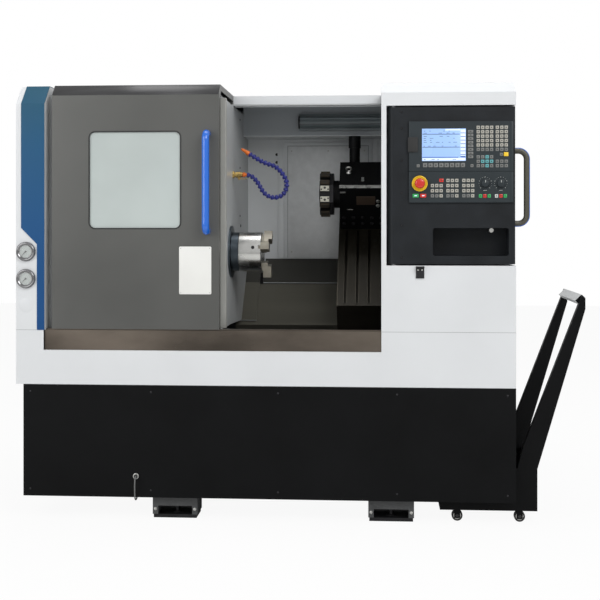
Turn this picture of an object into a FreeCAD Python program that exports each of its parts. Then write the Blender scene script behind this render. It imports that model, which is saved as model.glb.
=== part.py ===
"""A slant-bed turning lathe with a sheet-metal enclosure, millimetres.

Lengths are measured on the machine: x from the casing's left side, y back from the casing's front
face, z up from the floor. The slanted bed has its own pair of directions in the y-z plane:
s runs up and back along the slope, n stands square on it. At export everything is moved so that
the origin lies on the floor under the middle of the overall box.
"""
import FreeCAD
import Part
import math
import os

V = FreeCAD.Vector
X_AXIS, Y_AXIS, Z_AXIS = V(1, 0, 0), V(0, 1, 0), V(0, 0, 1)

# ---- fits
GAP = 0.3            # between pieces that turn or sit in each other
RUN = 0.5            # between a sliding piece and its guide
SHEET = 3.0          # casing sheet

# ---- casing
CASE_L = 2033.0      # white casing, left to right
CASE_D = 1420.0      # front to back
CASE_H = 1776.0      # floor to roof
BASE_Z = 91.0        # lower edge of the black base
BAND_Z = 549.0       # lower edge of the white band
SILL_Z = 771.0       # sill of the opening
BASE_INSET = 31.0    # the base stands in from the band's left side
COVER_L = 119.0      # left end cover
COLUMN_X = CASE_L - 536.0   # left edge of the right column
COLUMN_D = 230.0     # depth of the right column
CHAMFER = 43.0       # bevel along the roof's front edge
COVER_CHAMFER = 78.0 # the same on the left end cover
ROOF_Y = 470.0       # front edge of the fixed roof
ROOF_LIP = 50.0      # height of the fixed roof's front lip
WALL_Y = 1000.0      # back wall of the work space
BEAM_Y = 800.0       # ceiling beam
BEAM_H = 154.0
RAIL_T = 6.0         # upper door rail

SERVICE_X, SERVICE_L, SERVICE_Z, SERVICE_H = 1025.0, 427.0, 1040.0, 564.0
GUARD_IN = 86.0      # left wall to the upper guard
LAMP_X, LAMP_L = 1112.0, 700.0
CABINET_X, CABINET_L, CABINET_Z, CABINET_H = 500.0, 1000.0, 880.0, 780.0
KNUCKLE_R, KNUCKLE_L = 8.0, 40.0

# ---- left end cover
BLUE_X, BLUE_LOW_X = 22.0, 88.0
BLUE_KNEE_Z, BLUE_KNEE_DROP = 1189.0, 66.0
BLUE_T = 3.0
GAUGE_X = 42.0
GAUGE_Z = (1092.0, 981.0)
GAUGE_R, GAUGE_T = 40.0, 14.0
NEEDLE_L = 25.0

# ---- door
DOOR_X, DOOR_L = 150.0, 690.0
DOOR_T = 45.0        # thickness of the folded front
DOOR_TOP_T = 24.0    # thickness of the folded top
DOOR_TRAVEL = 655.0
WINDOW_L, WINDOW_H = 373.0, 391.0
WINDOW_SIDE = 157.0  # door edge to window
WINDOW_UP = 418.0    # sill to window
WINDOW_R = 22.0
PANE_T, SEAL_W = 6.0, 9.0
GRIP_SIDE = 48.0     # door's right edge to the grip
GRIP_Z, GRIP_L, GRIP_R, GRIP_OUT = 1161.0, 426.0, 15.0, 51.0
PLATE_L, PLATE_H, PLATE_SIDE, PLATE_UP, PLATE_T = 133.0, 195.0, 31.0, 148.0, 1.5

# ---- spindle
AXIS_Y, AXIS_Z = 340.0, 1085.0
WALL_X, WALL_T = 829.0, 16.0      # left wall of the work space
CHUCK_X, CHUCK_L, CHUCK_R = 884.0, 100.0, 85.0
NOSE_T, NOSE_R = 30.0, 84.0
RING_R, RING_T = 112.0, 23.0
SHAFT_R, BORE_R = 50.0, 22.0
SHAFT_X = 200.0                   # rear end of the spindle
BEARING_L, BEARING_W = 60.0, 18.0
JAW_R_IN, JAW_R_OUT, JAW_W, JAW_L, JAW_STEP = 46.0, 112.0, 32.0, 36.0, 15.0
JAW_ANGLE = 45.0
JAW_KEY_W, JAW_KEY_D = 14.0, 12.0
PULLEY_X, PULLEY_L, PULLEY_R, MOTOR_PULLEY_R = 215.0, 50.0, 90.0, 55.0
BELT_T, BELT_W = 8.0, 44.0
MOTOR_Y, MOTOR_Z, MOTOR_R, MOTOR_L, MOTOR_X = 250.0, 690.0, 108.0, 320.0, 300.0
CYL_R, CYL_L, CYL_X = 75.0, 70.0, 124.0
HEAD_X, HEAD_FOOT_R = 310.0, 640.0
HEAD_HALF, HEAD_DOWN, HEAD_UP, HEAD_BEVEL = 150.0, 100.0, 155.0, 40.0   # round the spindle's axis
HEAD_S0, HEAD_S1 = 800.0, 1160.0   # its foot on the slanted bed

# ---- slanted bed, in s and n
BED_X, BED_R = 280.0, CASE_L - 33.0
BED_FACE_N = -46.0
BED_S0 = 746.0       # lower end of the slanted face
BED_WALL, BED_CELLS = 40.0, 4
COVER_N = 22.0       # way covers
WAY_S = (1052.0, 1218.0)
WAY_W, WAY_T = 46.0, 30.0
GUARD_S0, GUARD_S1, GUARD_S2 = 1019.0, 1276.0, 1428.0
SADDLE_X, SADDLE_L = 1304.0, 400.0
SADDLE_S0 = 850.0
SADDLE_N, SADDLE_LOW_N = 180.0, 60.0
SLIDE_N0, SLIDE_N1 = 293.7, 354.3
SLIDE_S1 = 1490.0
SLOT_FIRST, SLOT_PITCH, SLOT_W, SLOT_D, SLOT_COUNT = 36.0, 52.0, 12.0, 18.0, 7
Z_TRAVEL = (-150.0, 140.0)
X_TRAVEL = (-15.0, 190.0)

# ---- turret; its axis is as high over the slide as the spindle's
TURRET_N = (AXIS_Z - AXIS_Y) * math.sqrt(0.5)
TURRET_S = 1369.0
TURRET_X, TURRET_L, TURRET_R = 1222.0, 62.0, 101.0
TURRET_SIDES = 8
TOOL_SLOT_W, TOOL_SLOT_D, SLOT_WALL = 22.0, 32.0, 16.0
CLAMP_W, CLAMP_T = 24.0, 9.0
HOUSING_X, HOUSING_L, HOUSING_S0, HOUSING_N = 1311.0, 290.0, 1318.0, 614.0
HUB_R = 62.0
DUCT_X, DUCT_Y, DUCT_R, DUCT_TOP = 1376.0, 672.0, 24.0, 1610.0
COLLAR_L = 55.0      # collar at the duct's top

# ---- operator panel
PANEL_X, PANEL_R = CASE_L - 510.0, CASE_L - 3.0
PANEL_Z1 = CASE_H - 101.0
PANEL_H = 631.0
PANEL_Z0 = PANEL_Z1 - PANEL_H
PANEL_D, POST_R, PANEL_FRONT = 150.0, 24.0, 6.0
PIN_R, PIN_L = 9.0, 12.0           # the pins that the box swings on
NICHE = 6.0                        # room round the box
UNIT_X, UNIT_L, UNIT_T = PANEL_X + 84.0, 415.0, 9.0
UNIT_TOP = PANEL_Z1 - 59.0
UNIT_SPLIT, UNIT_Z = UNIT_TOP - 200.5, UNIT_TOP - 325.0
SCREEN_X, SCREEN_L, SCREEN_Z, SCREEN_H = UNIT_X + 52.0, 175.0, UNIT_TOP - 159.0, 130.0
KEY, KEY_T = 13.0, 2.0
# the keys, block by block: (x and z from the unit's lower left corner, pitch x, pitch z)
KEY_BLOCKS = ((270, 204, 17.3, 17.3), (344, 204, 17.3, 17.3), (270, 139, 17.3, 17.3),
              (344, 139, 17.3, 17.3), (235, 175, 17.3, 15.0), (55, 140, 21.6, 17.3),
              (90, 19, 17.3, 20.0), (152, 19, 17.3, 20.0), (215, 19, 17.3, 20.0),
              (280, 19, 17.3, 17.3), (343, 19, 17.3, 17.3))
# and the columns and rows of each block
KEY_COUNTS = ("4x6", "3x6", "4x3", "3x2", "1x8", "8x1", "3x3", "3x4", "3x4", "3x1", "3x1")
STOP_X, DIAL_Z, STOP_R, STOP_COLLAR_R, STOP_OUT = UNIT_X + 43.0, UNIT_Z + 76.0, 19.0, 32.0, 34.0
DIAL_X = (UNIT_X + 303.0, UNIT_X + 365.0)
DIAL_R, DIAL_OUT, DIAL_RING_R = 18.0, 18.0, 26.0
BUTTON_X, BUTTON_Z, BUTTON_L, BUTTON_H = (UNIT_X + 15.0, UNIT_X + 45.0), UNIT_Z + 20.0, 24.0, 15.0
TRAY_X, TRAY_L, TRAY_Z, TRAY_H, TRAY_D = PANEL_X + 180.0, 302.0, PANEL_Z0 + 33.0, 112.0, 110.0
BRACKET_X, BRACKET_L = PANEL_X + 112.0, 33.0
HANDLE_OUT, HANDLE_Z, HANDLE_H, HANDLE_R, HANDLE_BEND = 64.0, PANEL_Z0 + 149.0, 320.0, 13.0, 34.0

# ---- coolant line
TAP_Y, TAP_Z = 400.0, 1422.0
TAP_L, TAP_R = 44.0, 10.0
HOSE_R, HOSE_BORE = 9.0, 4.0
# the hose's line as it is set: (x, z) points from the tap to the nozzle
HOSE_LINE = ((914.0, 1422.0), (934.0, 1412.0), (956.0, 1388.0), (978.0, 1346.0), (1010.0, 1322.0),
             (1050.0, 1322.0), (1078.0, 1346.0), (1086.0, 1386.0), (1068.0, 1424.0), (1036.0, 1458.0),
             (1000.0, 1469.0), (964.0, 1484.0), (902.0, 1524.0))
HOSE_LINK = 6.0
NOZZLE_L = 34.0

# ---- pull-out tank
TANK_X, TANK_R = CASE_L - 299.0, CASE_L + 92.0
TANK_Y, TANK_D, TANK_Z0, TANK_Z1, TANK_T = 60.0, 475.0, 46.0, 216.0, 3.0
TANK_TRAVEL = 600.0
WHEEL_R, WHEEL_T, AXLE_R = 22.0, 22.0, 6.0
WHEEL_INSET = 70.0
ARM_REACH, ARM_TOP, ARM_ROOT, ARM_T = 191.0, 919.0, 80.0, 30.0

# ---- splash apron, earth lead
APRON_X, APRON_Z, APRON_T = 115.0, 689.0, 12.0
SILL_D, CHUTE_D, CHUTE_Z = 90.0, 250.0, 569.0
DOOR_LIFT = 5.0      # sill to the door's lower edge
EARTH_X, EARTH_Z, EARTH_R = 499.0, 177.5, 3.0
GLAND_OUT = 6.0
EARTH_BEND = 19.0    # bend from the gland downwards
EARTH_TURN = 27.5    # turn in under the base's edge, a diameter clear of it
EARTH_LOW, EARTH_END = 109.5, 112.0   # start of that turn, and the lug that ends the lead
EARTH_IN = 2 * EARTH_TURN - GLAND_OUT - 2 - EARTH_BEND   # how far in the lead's end lies

# ---- feet
FOOT_X = (560.0, CASE_L - 589.0)
FOOT_L, FOOT_D, FOOT_Y0 = 185.0, 120.0, 40.0
FOOT_BACK = 50.0     # back wall to the rear feet's far ends
PAD_T, FOOT_SCREW_R = 14.0, 9.0
FOOT_TOP = 57.0      # top of the foot brackets
BEAM_RISE = 20.0     # the cross beams reach this far into the base


# ---- helpers
def block(x0, x1, y0, y1, z0, z1):
    return Part.makeBox(x1 - x0, y1 - y0, z1 - z0, V(x0, y0, z0))


def rod(axis, at, radius, length):
    """A cylinder from the point at, along axis."""
    return Part.makeCylinder(radius, length, V(*at), axis)


def ring(axis, at, outer, inner, length):
    return rod(axis, at, outer, length).cut(rod(axis, at, inner, length))


def prism(points, axis, start, length):
    """Extrudes an outline: (y, z) points along x, or (x, z) points along y."""
    if axis is X_AXIS:
        corners = [V(start, y, z) for y, z in points]
    else:
        corners = [V(x, start, z) for x, z in points]
    return Part.Face(Part.makePolygon(corners + corners[:1])).extrude(axis * length)


def slope(s, n):
    """The (y, z) point at s along the slanted bed and n square off it."""
    root = math.sqrt(0.5)
    return ((s - n) * root, (s + n) * root)


def slant_block(x0, x1, s0, s1, n0, n1):
    outline = [slope(s0, n0), slope(s1, n0), slope(s1, n1), slope(s0, n1)]
    return prism(outline, X_AXIS, x0, x1 - x0)


def fused(shapes):
    whole = shapes[0].multiFuse(shapes[1:]) if len(shapes) > 1 else shapes[0]
    return whole.removeSplitter()


def rounded_window(x0, x1, z0, z1, radius, y0, y1):
    """A block through y with its four upright-plane corners rounded."""
    body = block(x0, x1, y0, y1, z0, z1)
    edges = [e for e in body.Edges if abs(e.BoundBox.YLength - (y1 - y0)) < 1e-6]
    return body.makeFillet(radius, edges)


def radial(shape, angle):
    """Turns a piece made along +y from the spindle axis to its own angle."""
    turned = shape.copy()
    turned.rotate(V(0, AXIS_Y, AXIS_Z), X_AXIS, angle)
    return turned


# ---- casing
def base_skirt():
    shell = block(BASE_INSET, CASE_L, 0, CASE_D, BASE_Z, BAND_Z)
    room = block(BASE_INSET + SHEET, CASE_L - SHEET, SHEET, CASE_D - SHEET, BASE_Z, BAND_Z)
    way_in = block(CASE_L - 2 * SHEET, CASE_L + SHEET, SHEET, TANK_Y + TANK_D + 10,
                   BASE_Z, TANK_Z1 + 10)
    deck = block(BASE_INSET, HEAD_X + MOTOR_L + MOTOR_X, 0, MOTOR_Y + MOTOR_R + 40,
                 BAND_Z - SHEET, BAND_Z)
    guide = block(TANK_X, CASE_L - SHEET, SHEET, TANK_Y - RUN, TANK_Z1 - 30, TANK_Z1 - 20)
    gland = rod(-Y_AXIS, (EARTH_X, 0, EARTH_Z), 9, GLAND_OUT)
    lug = block(EARTH_X - 12, EARTH_X + 12, SHEET, EARTH_IN + 9, EARTH_END, EARTH_END + 10)
    return fused([shell.cut(room).cut(way_in), deck, guide, gland, lug])


def front_band():
    """The white band round the foot of the casing, open at the front for the splash apron."""
    outer = block(0, CASE_L, 0, CASE_D, BAND_Z, SILL_Z)
    room = block(SHEET, CASE_L - SHEET, SHEET, CASE_D - SHEET, BAND_Z + SHEET, SILL_Z)
    hatch = block(BASE_INSET + SHEET, CASE_L - SHEET, SHEET, CASE_D - SHEET, BAND_Z, BAND_Z + SHEET)
    notch = block(APRON_X, COLUMN_X, -1, APRON_T + SHEET + GAP, APRON_Z, SILL_Z)
    shelf = block(APRON_X, COLUMN_X, 0, APRON_T + 40, APRON_Z - SHEET, APRON_Z)
    return fused([outer.cut(room).cut(hatch).cut(notch), shelf])


def splash_apron():
    """The bare steel strip under the opening, with its sill and the lower door guide."""
    face = block(APRON_X + GAP, COLUMN_X - GAP, APRON_T, APRON_T + SHEET, APRON_Z, SILL_Z)
    sill = block(APRON_X + GAP, COLUMN_X - GAP, APRON_T, APRON_T + SILL_D, SILL_Z - SHEET, SILL_Z)
    chute = prism([(APRON_T + SILL_D - SHEET, SILL_Z), (APRON_T + SILL_D, SILL_Z),
                   (APRON_T + CHUTE_D, CHUTE_Z), (APRON_T + CHUTE_D - SHEET, CHUTE_Z)],
                  X_AXIS, WALL_X + WALL_T, COLUMN_X - WALL_X - WALL_T)
    guide = block(COVER_L + GAP, COLUMN_X - GAP, APRON_T + 10, APRON_T + 22, SILL_Z,
                  SILL_Z + DOOR_LIFT - RUN)
    return fused([face, sill, chute, guide])


def front_outline(chamfer, top, back, inset):
    """The casing's y-z outline: front face, bevel and roof, inset from the skin."""
    bevel = inset * (math.sqrt(2) - 1)
    return [(inset, SILL_Z), (inset, top - chamfer - bevel), (chamfer + bevel, top - inset),
            (back, top - inset)]


def casing_box(x0, x1, chamfer, back):
    """A closed sheet box with a bevelled top, open at the bottom."""
    outer = front_outline(chamfer, CASE_H, back, 0) + [(back, SILL_Z)]
    inner = front_outline(chamfer, CASE_H, back - SHEET, SHEET) + [(back - SHEET, SILL_Z)]
    return prism(outer, X_AXIS, x0, x1 - x0).cut(
        prism(inner, X_AXIS, x0 + SHEET, x1 - x0 - 2 * SHEET))


def left_cover():
    holes = [rod(Y_AXIS, (GAUGE_X, -1, z), GAUGE_R - 6 + GAP, 2 * SHEET) for z in GAUGE_Z]
    return casing_box(0, COVER_L, COVER_CHAMFER, CASE_D).cut(fused(holes))


def blue_panel():
    """The blue corner panel: a thin folded sheet laid on the cover, bevel included."""
    back, top = COVER_CHAMFER + 60, CASE_H + BLUE_T
    flat = prism([(BLUE_X, top), (COVER_L, top), (COVER_L, SILL_Z), (BLUE_LOW_X, SILL_Z),
                  (BLUE_LOW_X, BLUE_KNEE_Z - BLUE_KNEE_DROP), (BLUE_X, BLUE_KNEE_Z)],
                 Y_AXIS, -BLUE_T, back + BLUE_T)
    skin = front_outline(COVER_CHAMFER, CASE_H, back, -BLUE_T)
    face = front_outline(COVER_CHAMFER, CASE_H, back, 0)
    return flat.common(prism(skin + face[::-1], X_AXIS, 0, COVER_L))


def gauge_case(z):
    """A pressure gauge: flanged bezel, dial and the case behind the cover."""
    bezel = ring(Y_AXIS, (GAUGE_X, -GAUGE_T, z), GAUGE_R, GAUGE_R - 8, GAUGE_T)
    dial = rod(Y_AXIS, (GAUGE_X, -SHEET, z), GAUGE_R - 6, SHEET + 26)
    pivot = rod(Y_AXIS, (GAUGE_X, -SHEET - 3, z), 1.5, 4)
    return fused([bezel, dial, pivot])


def gauge_needle(z):
    """A flat pointer with its hub, lying towards the lower left as at no pressure."""
    y = -SHEET - 4
    hub = ring(Y_AXIS, (GAUGE_X, y, z), 4, 1.5 + GAP, 1.2)
    blade = prism([(GAUGE_X - 1.5, z + 3.5), (GAUGE_X + 1.5, z + 3.5), (GAUGE_X + 0.4, z + NEEDLE_L),
                   (GAUGE_X - 0.4, z + NEEDLE_L)], Y_AXIS, y, 1.2)
    needle = hub.fuse(blade)
    needle.rotate(V(GAUGE_X, y, z), Y_AXIS, -135)
    return needle


def inner_panel():
    """The fixed sheet behind the parked door, bent over at the top, with the upper rail."""
    front, top = DOOR_T + 20, CASE_H - DOOR_TOP_T - 10
    back = front + SHEET
    end, rail_z = ROOF_Y - 32, CASE_H - ROOF_LIP + 4
    outline = [(front, SILL_Z), (front, top), (end, top), (end, rail_z), (end - SHEET, rail_z),
               (end - SHEET, top - SHEET), (back, top - SHEET), (back, SILL_Z)]
    sheet = prism(outline, X_AXIS, COVER_L, WALL_X - COVER_L)
    rail = block(COVER_L, COLUMN_X, end - SHEET, ROOF_Y, rail_z, rail_z + RAIL_T)
    return fused([sheet, rail])


def left_wall():
    """The upright left wall of the work space with the strip that hides the cover's slot."""
    front, top = DOOR_T + 20 + SHEET, CASE_H - ROOF_LIP
    slot = COVER_N + 10
    low = slope(GUARD_S0 + 20, slot)
    wall = prism([(front, SILL_Z), (front, top), (WALL_Y, top), (WALL_Y, WALL_Y + slot * math.sqrt(2)),
                  low, (front + 250, SILL_Z)], X_AXIS, WALL_X, WALL_T)
    strip = slant_block(WALL_X, WALL_X + 86, GUARD_S0 + 20, GUARD_S2, slot - 6, slot)
    foot = slant_block(WALL_X, WALL_X + WALL_T, GUARD_S0 + 20, GUARD_S2 - 30, slot - 3, slot + 10)
    hole = rod(X_AXIS, (WALL_X - 1, AXIS_Y, AXIS_Z), RING_R + GAP, WALL_T + 2)
    return fused([wall, strip, foot]).cut(hole)


def back_wall():
    """The rear wall with its framed service panel, the ceiling beam and the sloped upper guard."""
    x0, x1 = WALL_X + WALL_T, CASE_L - SHEET
    wall = block(x0, x1, WALL_Y, WALL_Y + SHEET, SILL_Z + 240, CASE_H - SHEET)
    frame = block(SERVICE_X, SERVICE_X + SERVICE_L, WALL_Y - 10, WALL_Y, SERVICE_Z, SERVICE_Z + SERVICE_H)
    recess = block(SERVICE_X + 14, SERVICE_X + SERVICE_L - 14, WALL_Y - 11, WALL_Y - 4,
                   SERVICE_Z, SERVICE_Z + SERVICE_H - 14)
    beam = block(x0, x1, BEAM_Y, BEAM_Y + SHEET, CASE_H - BEAM_H, CASE_H - SHEET)
    lip = block(x0, x1, BEAM_Y, WALL_Y, CASE_H - BEAM_H, CASE_H - BEAM_H + SHEET)
    guard = slant_block(x0 + GUARD_IN + RUN, x1, GUARD_S1 + 4, GUARD_S2 + 12, COVER_N, COVER_N + SHEET)
    return fused([wall, frame.cut(recess), beam, lip, guard])


def roof():
    """The fixed roof sheet with a turned-down lip along its front edge."""
    top = block(COVER_L, CASE_L, ROOF_Y, CASE_D, CASE_H - SHEET, CASE_H)
    lip = block(COVER_L, COLUMN_X, ROOF_Y, ROOF_Y + SHEET, CASE_H - ROOF_LIP, CASE_H)
    return fused([top, lip])


def right_column():
    """The white right end: bevelled front box with the panel's corner cut away, and the side wall."""
    box = casing_box(COLUMN_X, CASE_L, CHAMFER, COLUMN_D)
    back = PANEL_FRONT + PANEL_D + 2 * NICHE
    niche = block(PANEL_X - NICHE, CASE_L + 1, -1, back, PANEL_Z0 - NICHE, PANEL_Z1 + NICHE)
    lining = block(PANEL_X - NICHE - SHEET, CASE_L, 0, back + SHEET, PANEL_Z0 - NICHE - SHEET,
                   PANEL_Z1 + NICHE + SHEET)
    side = block(CASE_L - SHEET, CASE_L, COLUMN_D, CASE_D, SILL_Z, CASE_H - SHEET)
    top = block(COLUMN_X, CASE_L, COLUMN_D - SHEET, ROOF_Y, CASE_H - SHEET, CASE_H)
    pins = [rod(Z_AXIS, (PANEL_X + POST_R, PANEL_FRONT + POST_R, z), PIN_R, PIN_L)
            for z in (PANEL_Z0 - NICHE, PANEL_Z1 + NICHE - PIN_L)]
    return fused([box.fuse(lining).cut(niche), side, top] + pins)


def rear_cabinet():
    """The electrical cabinet that closes the back, open behind where its door lies."""
    x0, x1 = COVER_L, CASE_L - SHEET
    shell = block(x0, x1, WALL_Y + 60, CASE_D - SHEET, SILL_Z, CASE_H - SHEET)
    room = block(x0 + SHEET, x1 - SHEET, WALL_Y + 60 + SHEET, CASE_D, SILL_Z + SHEET,
                 CASE_H - 2 * SHEET)
    rim = block(x0, x1, CASE_D - 2 * SHEET, CASE_D - SHEET, SILL_Z, CASE_H - SHEET)
    mouth = block(CABINET_X, CABINET_X + CABINET_L, CASE_D - 30, CASE_D, CABINET_Z, CABINET_Z + CABINET_H)
    plate = block(x0 + 60, x1 - 60, WALL_Y + 60 + SHEET, WALL_Y + 72, SILL_Z + 60, CASE_H - 60)
    hx, hy = cabinet_hinge()
    leaves = [block(hx + GAP, hx + KNUCKLE_R, CASE_D - SHEET, hy, z, z + KNUCKLE_L)
              for z in hinge_heights()]
    knuckles = [rod(Z_AXIS, (hx, hy, z), KNUCKLE_R, KNUCKLE_L) for z in hinge_heights()]
    return fused([shell.cut(room), rim.cut(mouth), plate] + leaves + knuckles)


def cabinet_hinge():
    """The cabinet door's hinge line, at the outer corner of its pan."""
    return CABINET_X + CABINET_L + 15, CASE_D + 17


def hinge_heights():
    """Lower ends of the cabinet's own hinge knuckles; the door's stand on them."""
    return (CABINET_Z + 80, CABINET_Z + CABINET_H - 80 - 2 * KNUCKLE_L)


def cabinet_door():
    """A pan-shaped door over the cabinet's mouth, with its latch."""
    x1, z1 = CABINET_X + CABINET_L + 15, CABINET_Z + CABINET_H + 15
    pan = block(CABINET_X - 15, x1, CASE_D - SHEET + RUN, CASE_D + 17, CABINET_Z - 15, z1)
    room = block(CABINET_X - 13, x1 - 2, CASE_D - 10, CASE_D + 15, CABINET_Z - 13, z1 - 2)
    latch = block(CABINET_X + 20, CABINET_X + 40, CASE_D + 15, CASE_D + 27,
                  (CABINET_Z + z1) / 2 - 60, (CABINET_Z + z1) / 2 + 60)
    hx, hy = cabinet_hinge()
    knuckles = [rod(Z_AXIS, (hx, hy, z + KNUCKLE_L + GAP), KNUCKLE_R, KNUCKLE_L)
                for z in hinge_heights()]
    relief = [rod(Z_AXIS, (hx, hy, z - GAP), KNUCKLE_R + GAP, KNUCKLE_L + 2 * GAP)
              for z in hinge_heights()]
    return fused([pan.cut(room), latch] + knuckles).cut(fused(relief))


def work_lamp():
    """A long machine lamp under the ceiling beam's face: half-round housing and end caps."""
    z = CASE_H - BEAM_H + 62
    tube = rod(X_AXIS, (LAMP_X, BEAM_Y - 30, z), 30, LAMP_L)
    back = block(LAMP_X, LAMP_X + LAMP_L, BEAM_Y - 30, BEAM_Y, z - 38, z + 38)
    return fused([tube, back])


# ---- door
def door_panel():
    """The sliding door: a folded pan for the front, bevel and top, with the window cut out."""
    z0, x1 = SILL_Z + DOOR_LIFT, DOOR_X + DOOR_L
    back = ROOF_Y - 4
    skin = front_outline(CHAMFER, CASE_H, back, 0)
    fold = front_outline(CHAMFER, CASE_H, back, SHEET)
    inner = [(back, CASE_H - DOOR_TOP_T), (DOOR_T + 12, CASE_H - DOOR_TOP_T),
             (DOOR_T, CASE_H - DOOR_TOP_T - 12), (DOOR_T, SILL_Z)]
    body = prism(skin + inner, X_AXIS, DOOR_X, DOOR_L)
    room = prism([(y + (1 if i in (0, 1) else 0), z) for i, (y, z) in enumerate(inner)] +
                 fold, X_AXIS, DOOR_X + SHEET, DOOR_L - 2 * SHEET)
    flange = prism([(SHEET, z0), (DOOR_T, z0), (DOOR_T, z0 + SHEET), (SHEET, z0 + SHEET)],
                   X_AXIS, DOOR_X + SHEET, DOOR_L - 2 * SHEET)
    wx, wz = DOOR_X + WINDOW_SIDE, SILL_Z + WINDOW_UP
    window = rounded_window(wx, wx + WINDOW_L, wz, wz + WINDOW_H, WINDOW_R, -1, 2 * SHEET)
    below = block(DOOR_X - 1, x1 + 1, -1, DOOR_T + 1, SILL_Z - 1, z0)
    hook = block(DOOR_X, x1, back - 22, back - 2, CASE_H - ROOF_LIP + 4 + RAIL_T + RUN, CASE_H - 1)
    px, pz = x1 - PLATE_SIDE, SILL_Z + PLATE_UP
    plate = block(px - PLATE_L, px, -PLATE_T, 0, pz, pz + PLATE_H)
    return fused([body.cut(room), flange, hook, plate]).cut(window).cut(below)


def door_window():
    """The pane, held behind the opening by the seal."""
    m = SEAL_W - 2
    wx, wz = DOOR_X + WINDOW_SIDE, SILL_Z + WINDOW_UP
    y = SHEET + 1
    return rounded_window(wx - m, wx + WINDOW_L + m, wz - m, wz + WINDOW_H + m,
                          WINDOW_R + m, y, y + PANE_T)


def window_seal():
    """A rubber channel round the pane's edge, between it and the door sheet."""
    wx, wz = DOOR_X + WINDOW_SIDE, SILL_Z + WINDOW_UP
    m, g = SEAL_W - 2 + GAP, 6 + SEAL_W
    y = SHEET
    body = rounded_window(wx - g, wx + WINDOW_L + g, wz - g, wz + WINDOW_H + g,
                          WINDOW_R + g, y, y + PANE_T + 6)
    groove = rounded_window(wx - m, wx + WINDOW_L + m, wz - m, wz + WINDOW_H + m,
                            WINDOW_R + m, y + 1 - GAP, y + 1 + PANE_T + GAP)
    sight = rounded_window(wx, wx + WINDOW_L, wz, wz + WINDOW_H, WINDOW_R, y - 1, y + PANE_T + 9)
    return body.cut(groove).cut(sight)


def bent_grip(x, y0, out, z0, length, radius):
    """A tube grip in the y-z plane: two feet joined to an upright by quarter bends."""
    bend = 1.8 * radius
    y = y0 - out + bend
    lo, hi = z0 + radius, z0 + length - radius
    half = math.sqrt(0.5) * bend
    path = Part.Wire([
        Part.LineSegment(V(x, y0, lo), V(x, y, lo)).toShape(),
        Part.Arc(V(x, y, lo), V(x, y - half, lo + bend - half), V(x, y - bend, lo + bend)).toShape(),
        Part.LineSegment(V(x, y - bend, lo + bend), V(x, y - bend, hi - bend)).toShape(),
        Part.Arc(V(x, y - bend, hi - bend), V(x, y - half, hi - bend + half), V(x, y, hi)).toShape(),
        Part.LineSegment(V(x, y, hi), V(x, y0, hi)).toShape()])
    section = Part.Wire(Part.makeCircle(radius, V(x, y0, lo), -Y_AXIS))
    return path.makePipeShell([section], True, False)


def door_handle():
    return bent_grip(DOOR_X + DOOR_L - GRIP_SIDE, 0, GRIP_OUT, GRIP_Z, GRIP_L, GRIP_R)


# ---- spindle
def headstock():
    """The spindle's casting on the slanted bed: bored head, nose ring and foot."""
    y0, y1 = AXIS_Y - HEAD_HALF, AXIS_Y + HEAD_HALF
    z0, z1 = AXIS_Z - HEAD_DOWN, AXIS_Z + HEAD_UP
    low, high = slope(HEAD_S0, BED_FACE_N), slope(HEAD_S1, BED_FACE_N)
    rise = high[0] - y1
    foot = prism([low, high, (y1, high[1] + rise), (y0 + HEAD_BEVEL, z1), (y0, z1 - HEAD_BEVEL),
                  (y0, z0)], X_AXIS, HEAD_X, HEAD_FOOT_R - HEAD_X)
    head = prism([(y0, z0), (y0, z1 - HEAD_BEVEL), (y0 + HEAD_BEVEL, z1), (y1, z1), (y1, z0)],
                 X_AXIS, HEAD_FOOT_R, WALL_X - HEAD_FOOT_R - GAP)
    nose = rod(X_AXIS, (WALL_X - 20, AXIS_Y, AXIS_Z), RING_R, 20 + RING_T)
    bore = rod(X_AXIS, (HEAD_X - 1, AXIS_Y, AXIS_Z), SHAFT_R + BEARING_W, WALL_X + 100)
    return fused([foot, head, nose]).cut(bore)


def spindle_bearings():
    rings = []
    for x in (HEAD_X + 5, WALL_X + RING_T - BEARING_L - 5):
        rings.append(ring(X_AXIS, (x, AXIS_Y, AXIS_Z), SHAFT_R + BEARING_W - GAP / 3,
                          SHAFT_R + GAP, BEARING_L))
    return Part.Compound(rings)


def spindle():
    """The hollow spindle with its nose flange."""
    shaft = rod(X_AXIS, (SHAFT_X, AXIS_Y, AXIS_Z), SHAFT_R, CHUCK_X - SHAFT_X - NOSE_T)
    flange = rod(X_AXIS, (CHUCK_X - NOSE_T, AXIS_Y, AXIS_Z), NOSE_R, NOSE_T)
    bore = rod(X_AXIS, (SHAFT_X - 1, AXIS_Y, AXIS_Z), BORE_R, CHUCK_X - SHAFT_X + 2)
    return fused([shaft, flange]).cut(bore)


def chuck_body():
    """The chuck: a bored steel body with a bevelled rim and three radial jaw ways."""
    body = rod(X_AXIS, (CHUCK_X, AXIS_Y, AXIS_Z), CHUCK_R, CHUCK_L)
    rims = [e for e in body.Edges if e.Curve.TypeId == "Part::GeomCircle"]
    body = body.makeChamfer(3, rims)
    bore = rod(X_AXIS, (CHUCK_X - 1, AXIS_Y, AXIS_Z), BORE_R + 3, CHUCK_L + 2)
    face = CHUCK_X + CHUCK_L
    for i in range(3):
        half = JAW_KEY_W / 2 + GAP
        way = block(face - JAW_KEY_D, face + 1, AXIS_Y + JAW_R_IN - 12, AXIS_Y + CHUCK_R + 5,
                    AXIS_Z - half, AXIS_Z + half)
        body = body.cut(radial(way, JAW_ANGLE + 120 * i))
    return body.cut(bore)


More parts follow.
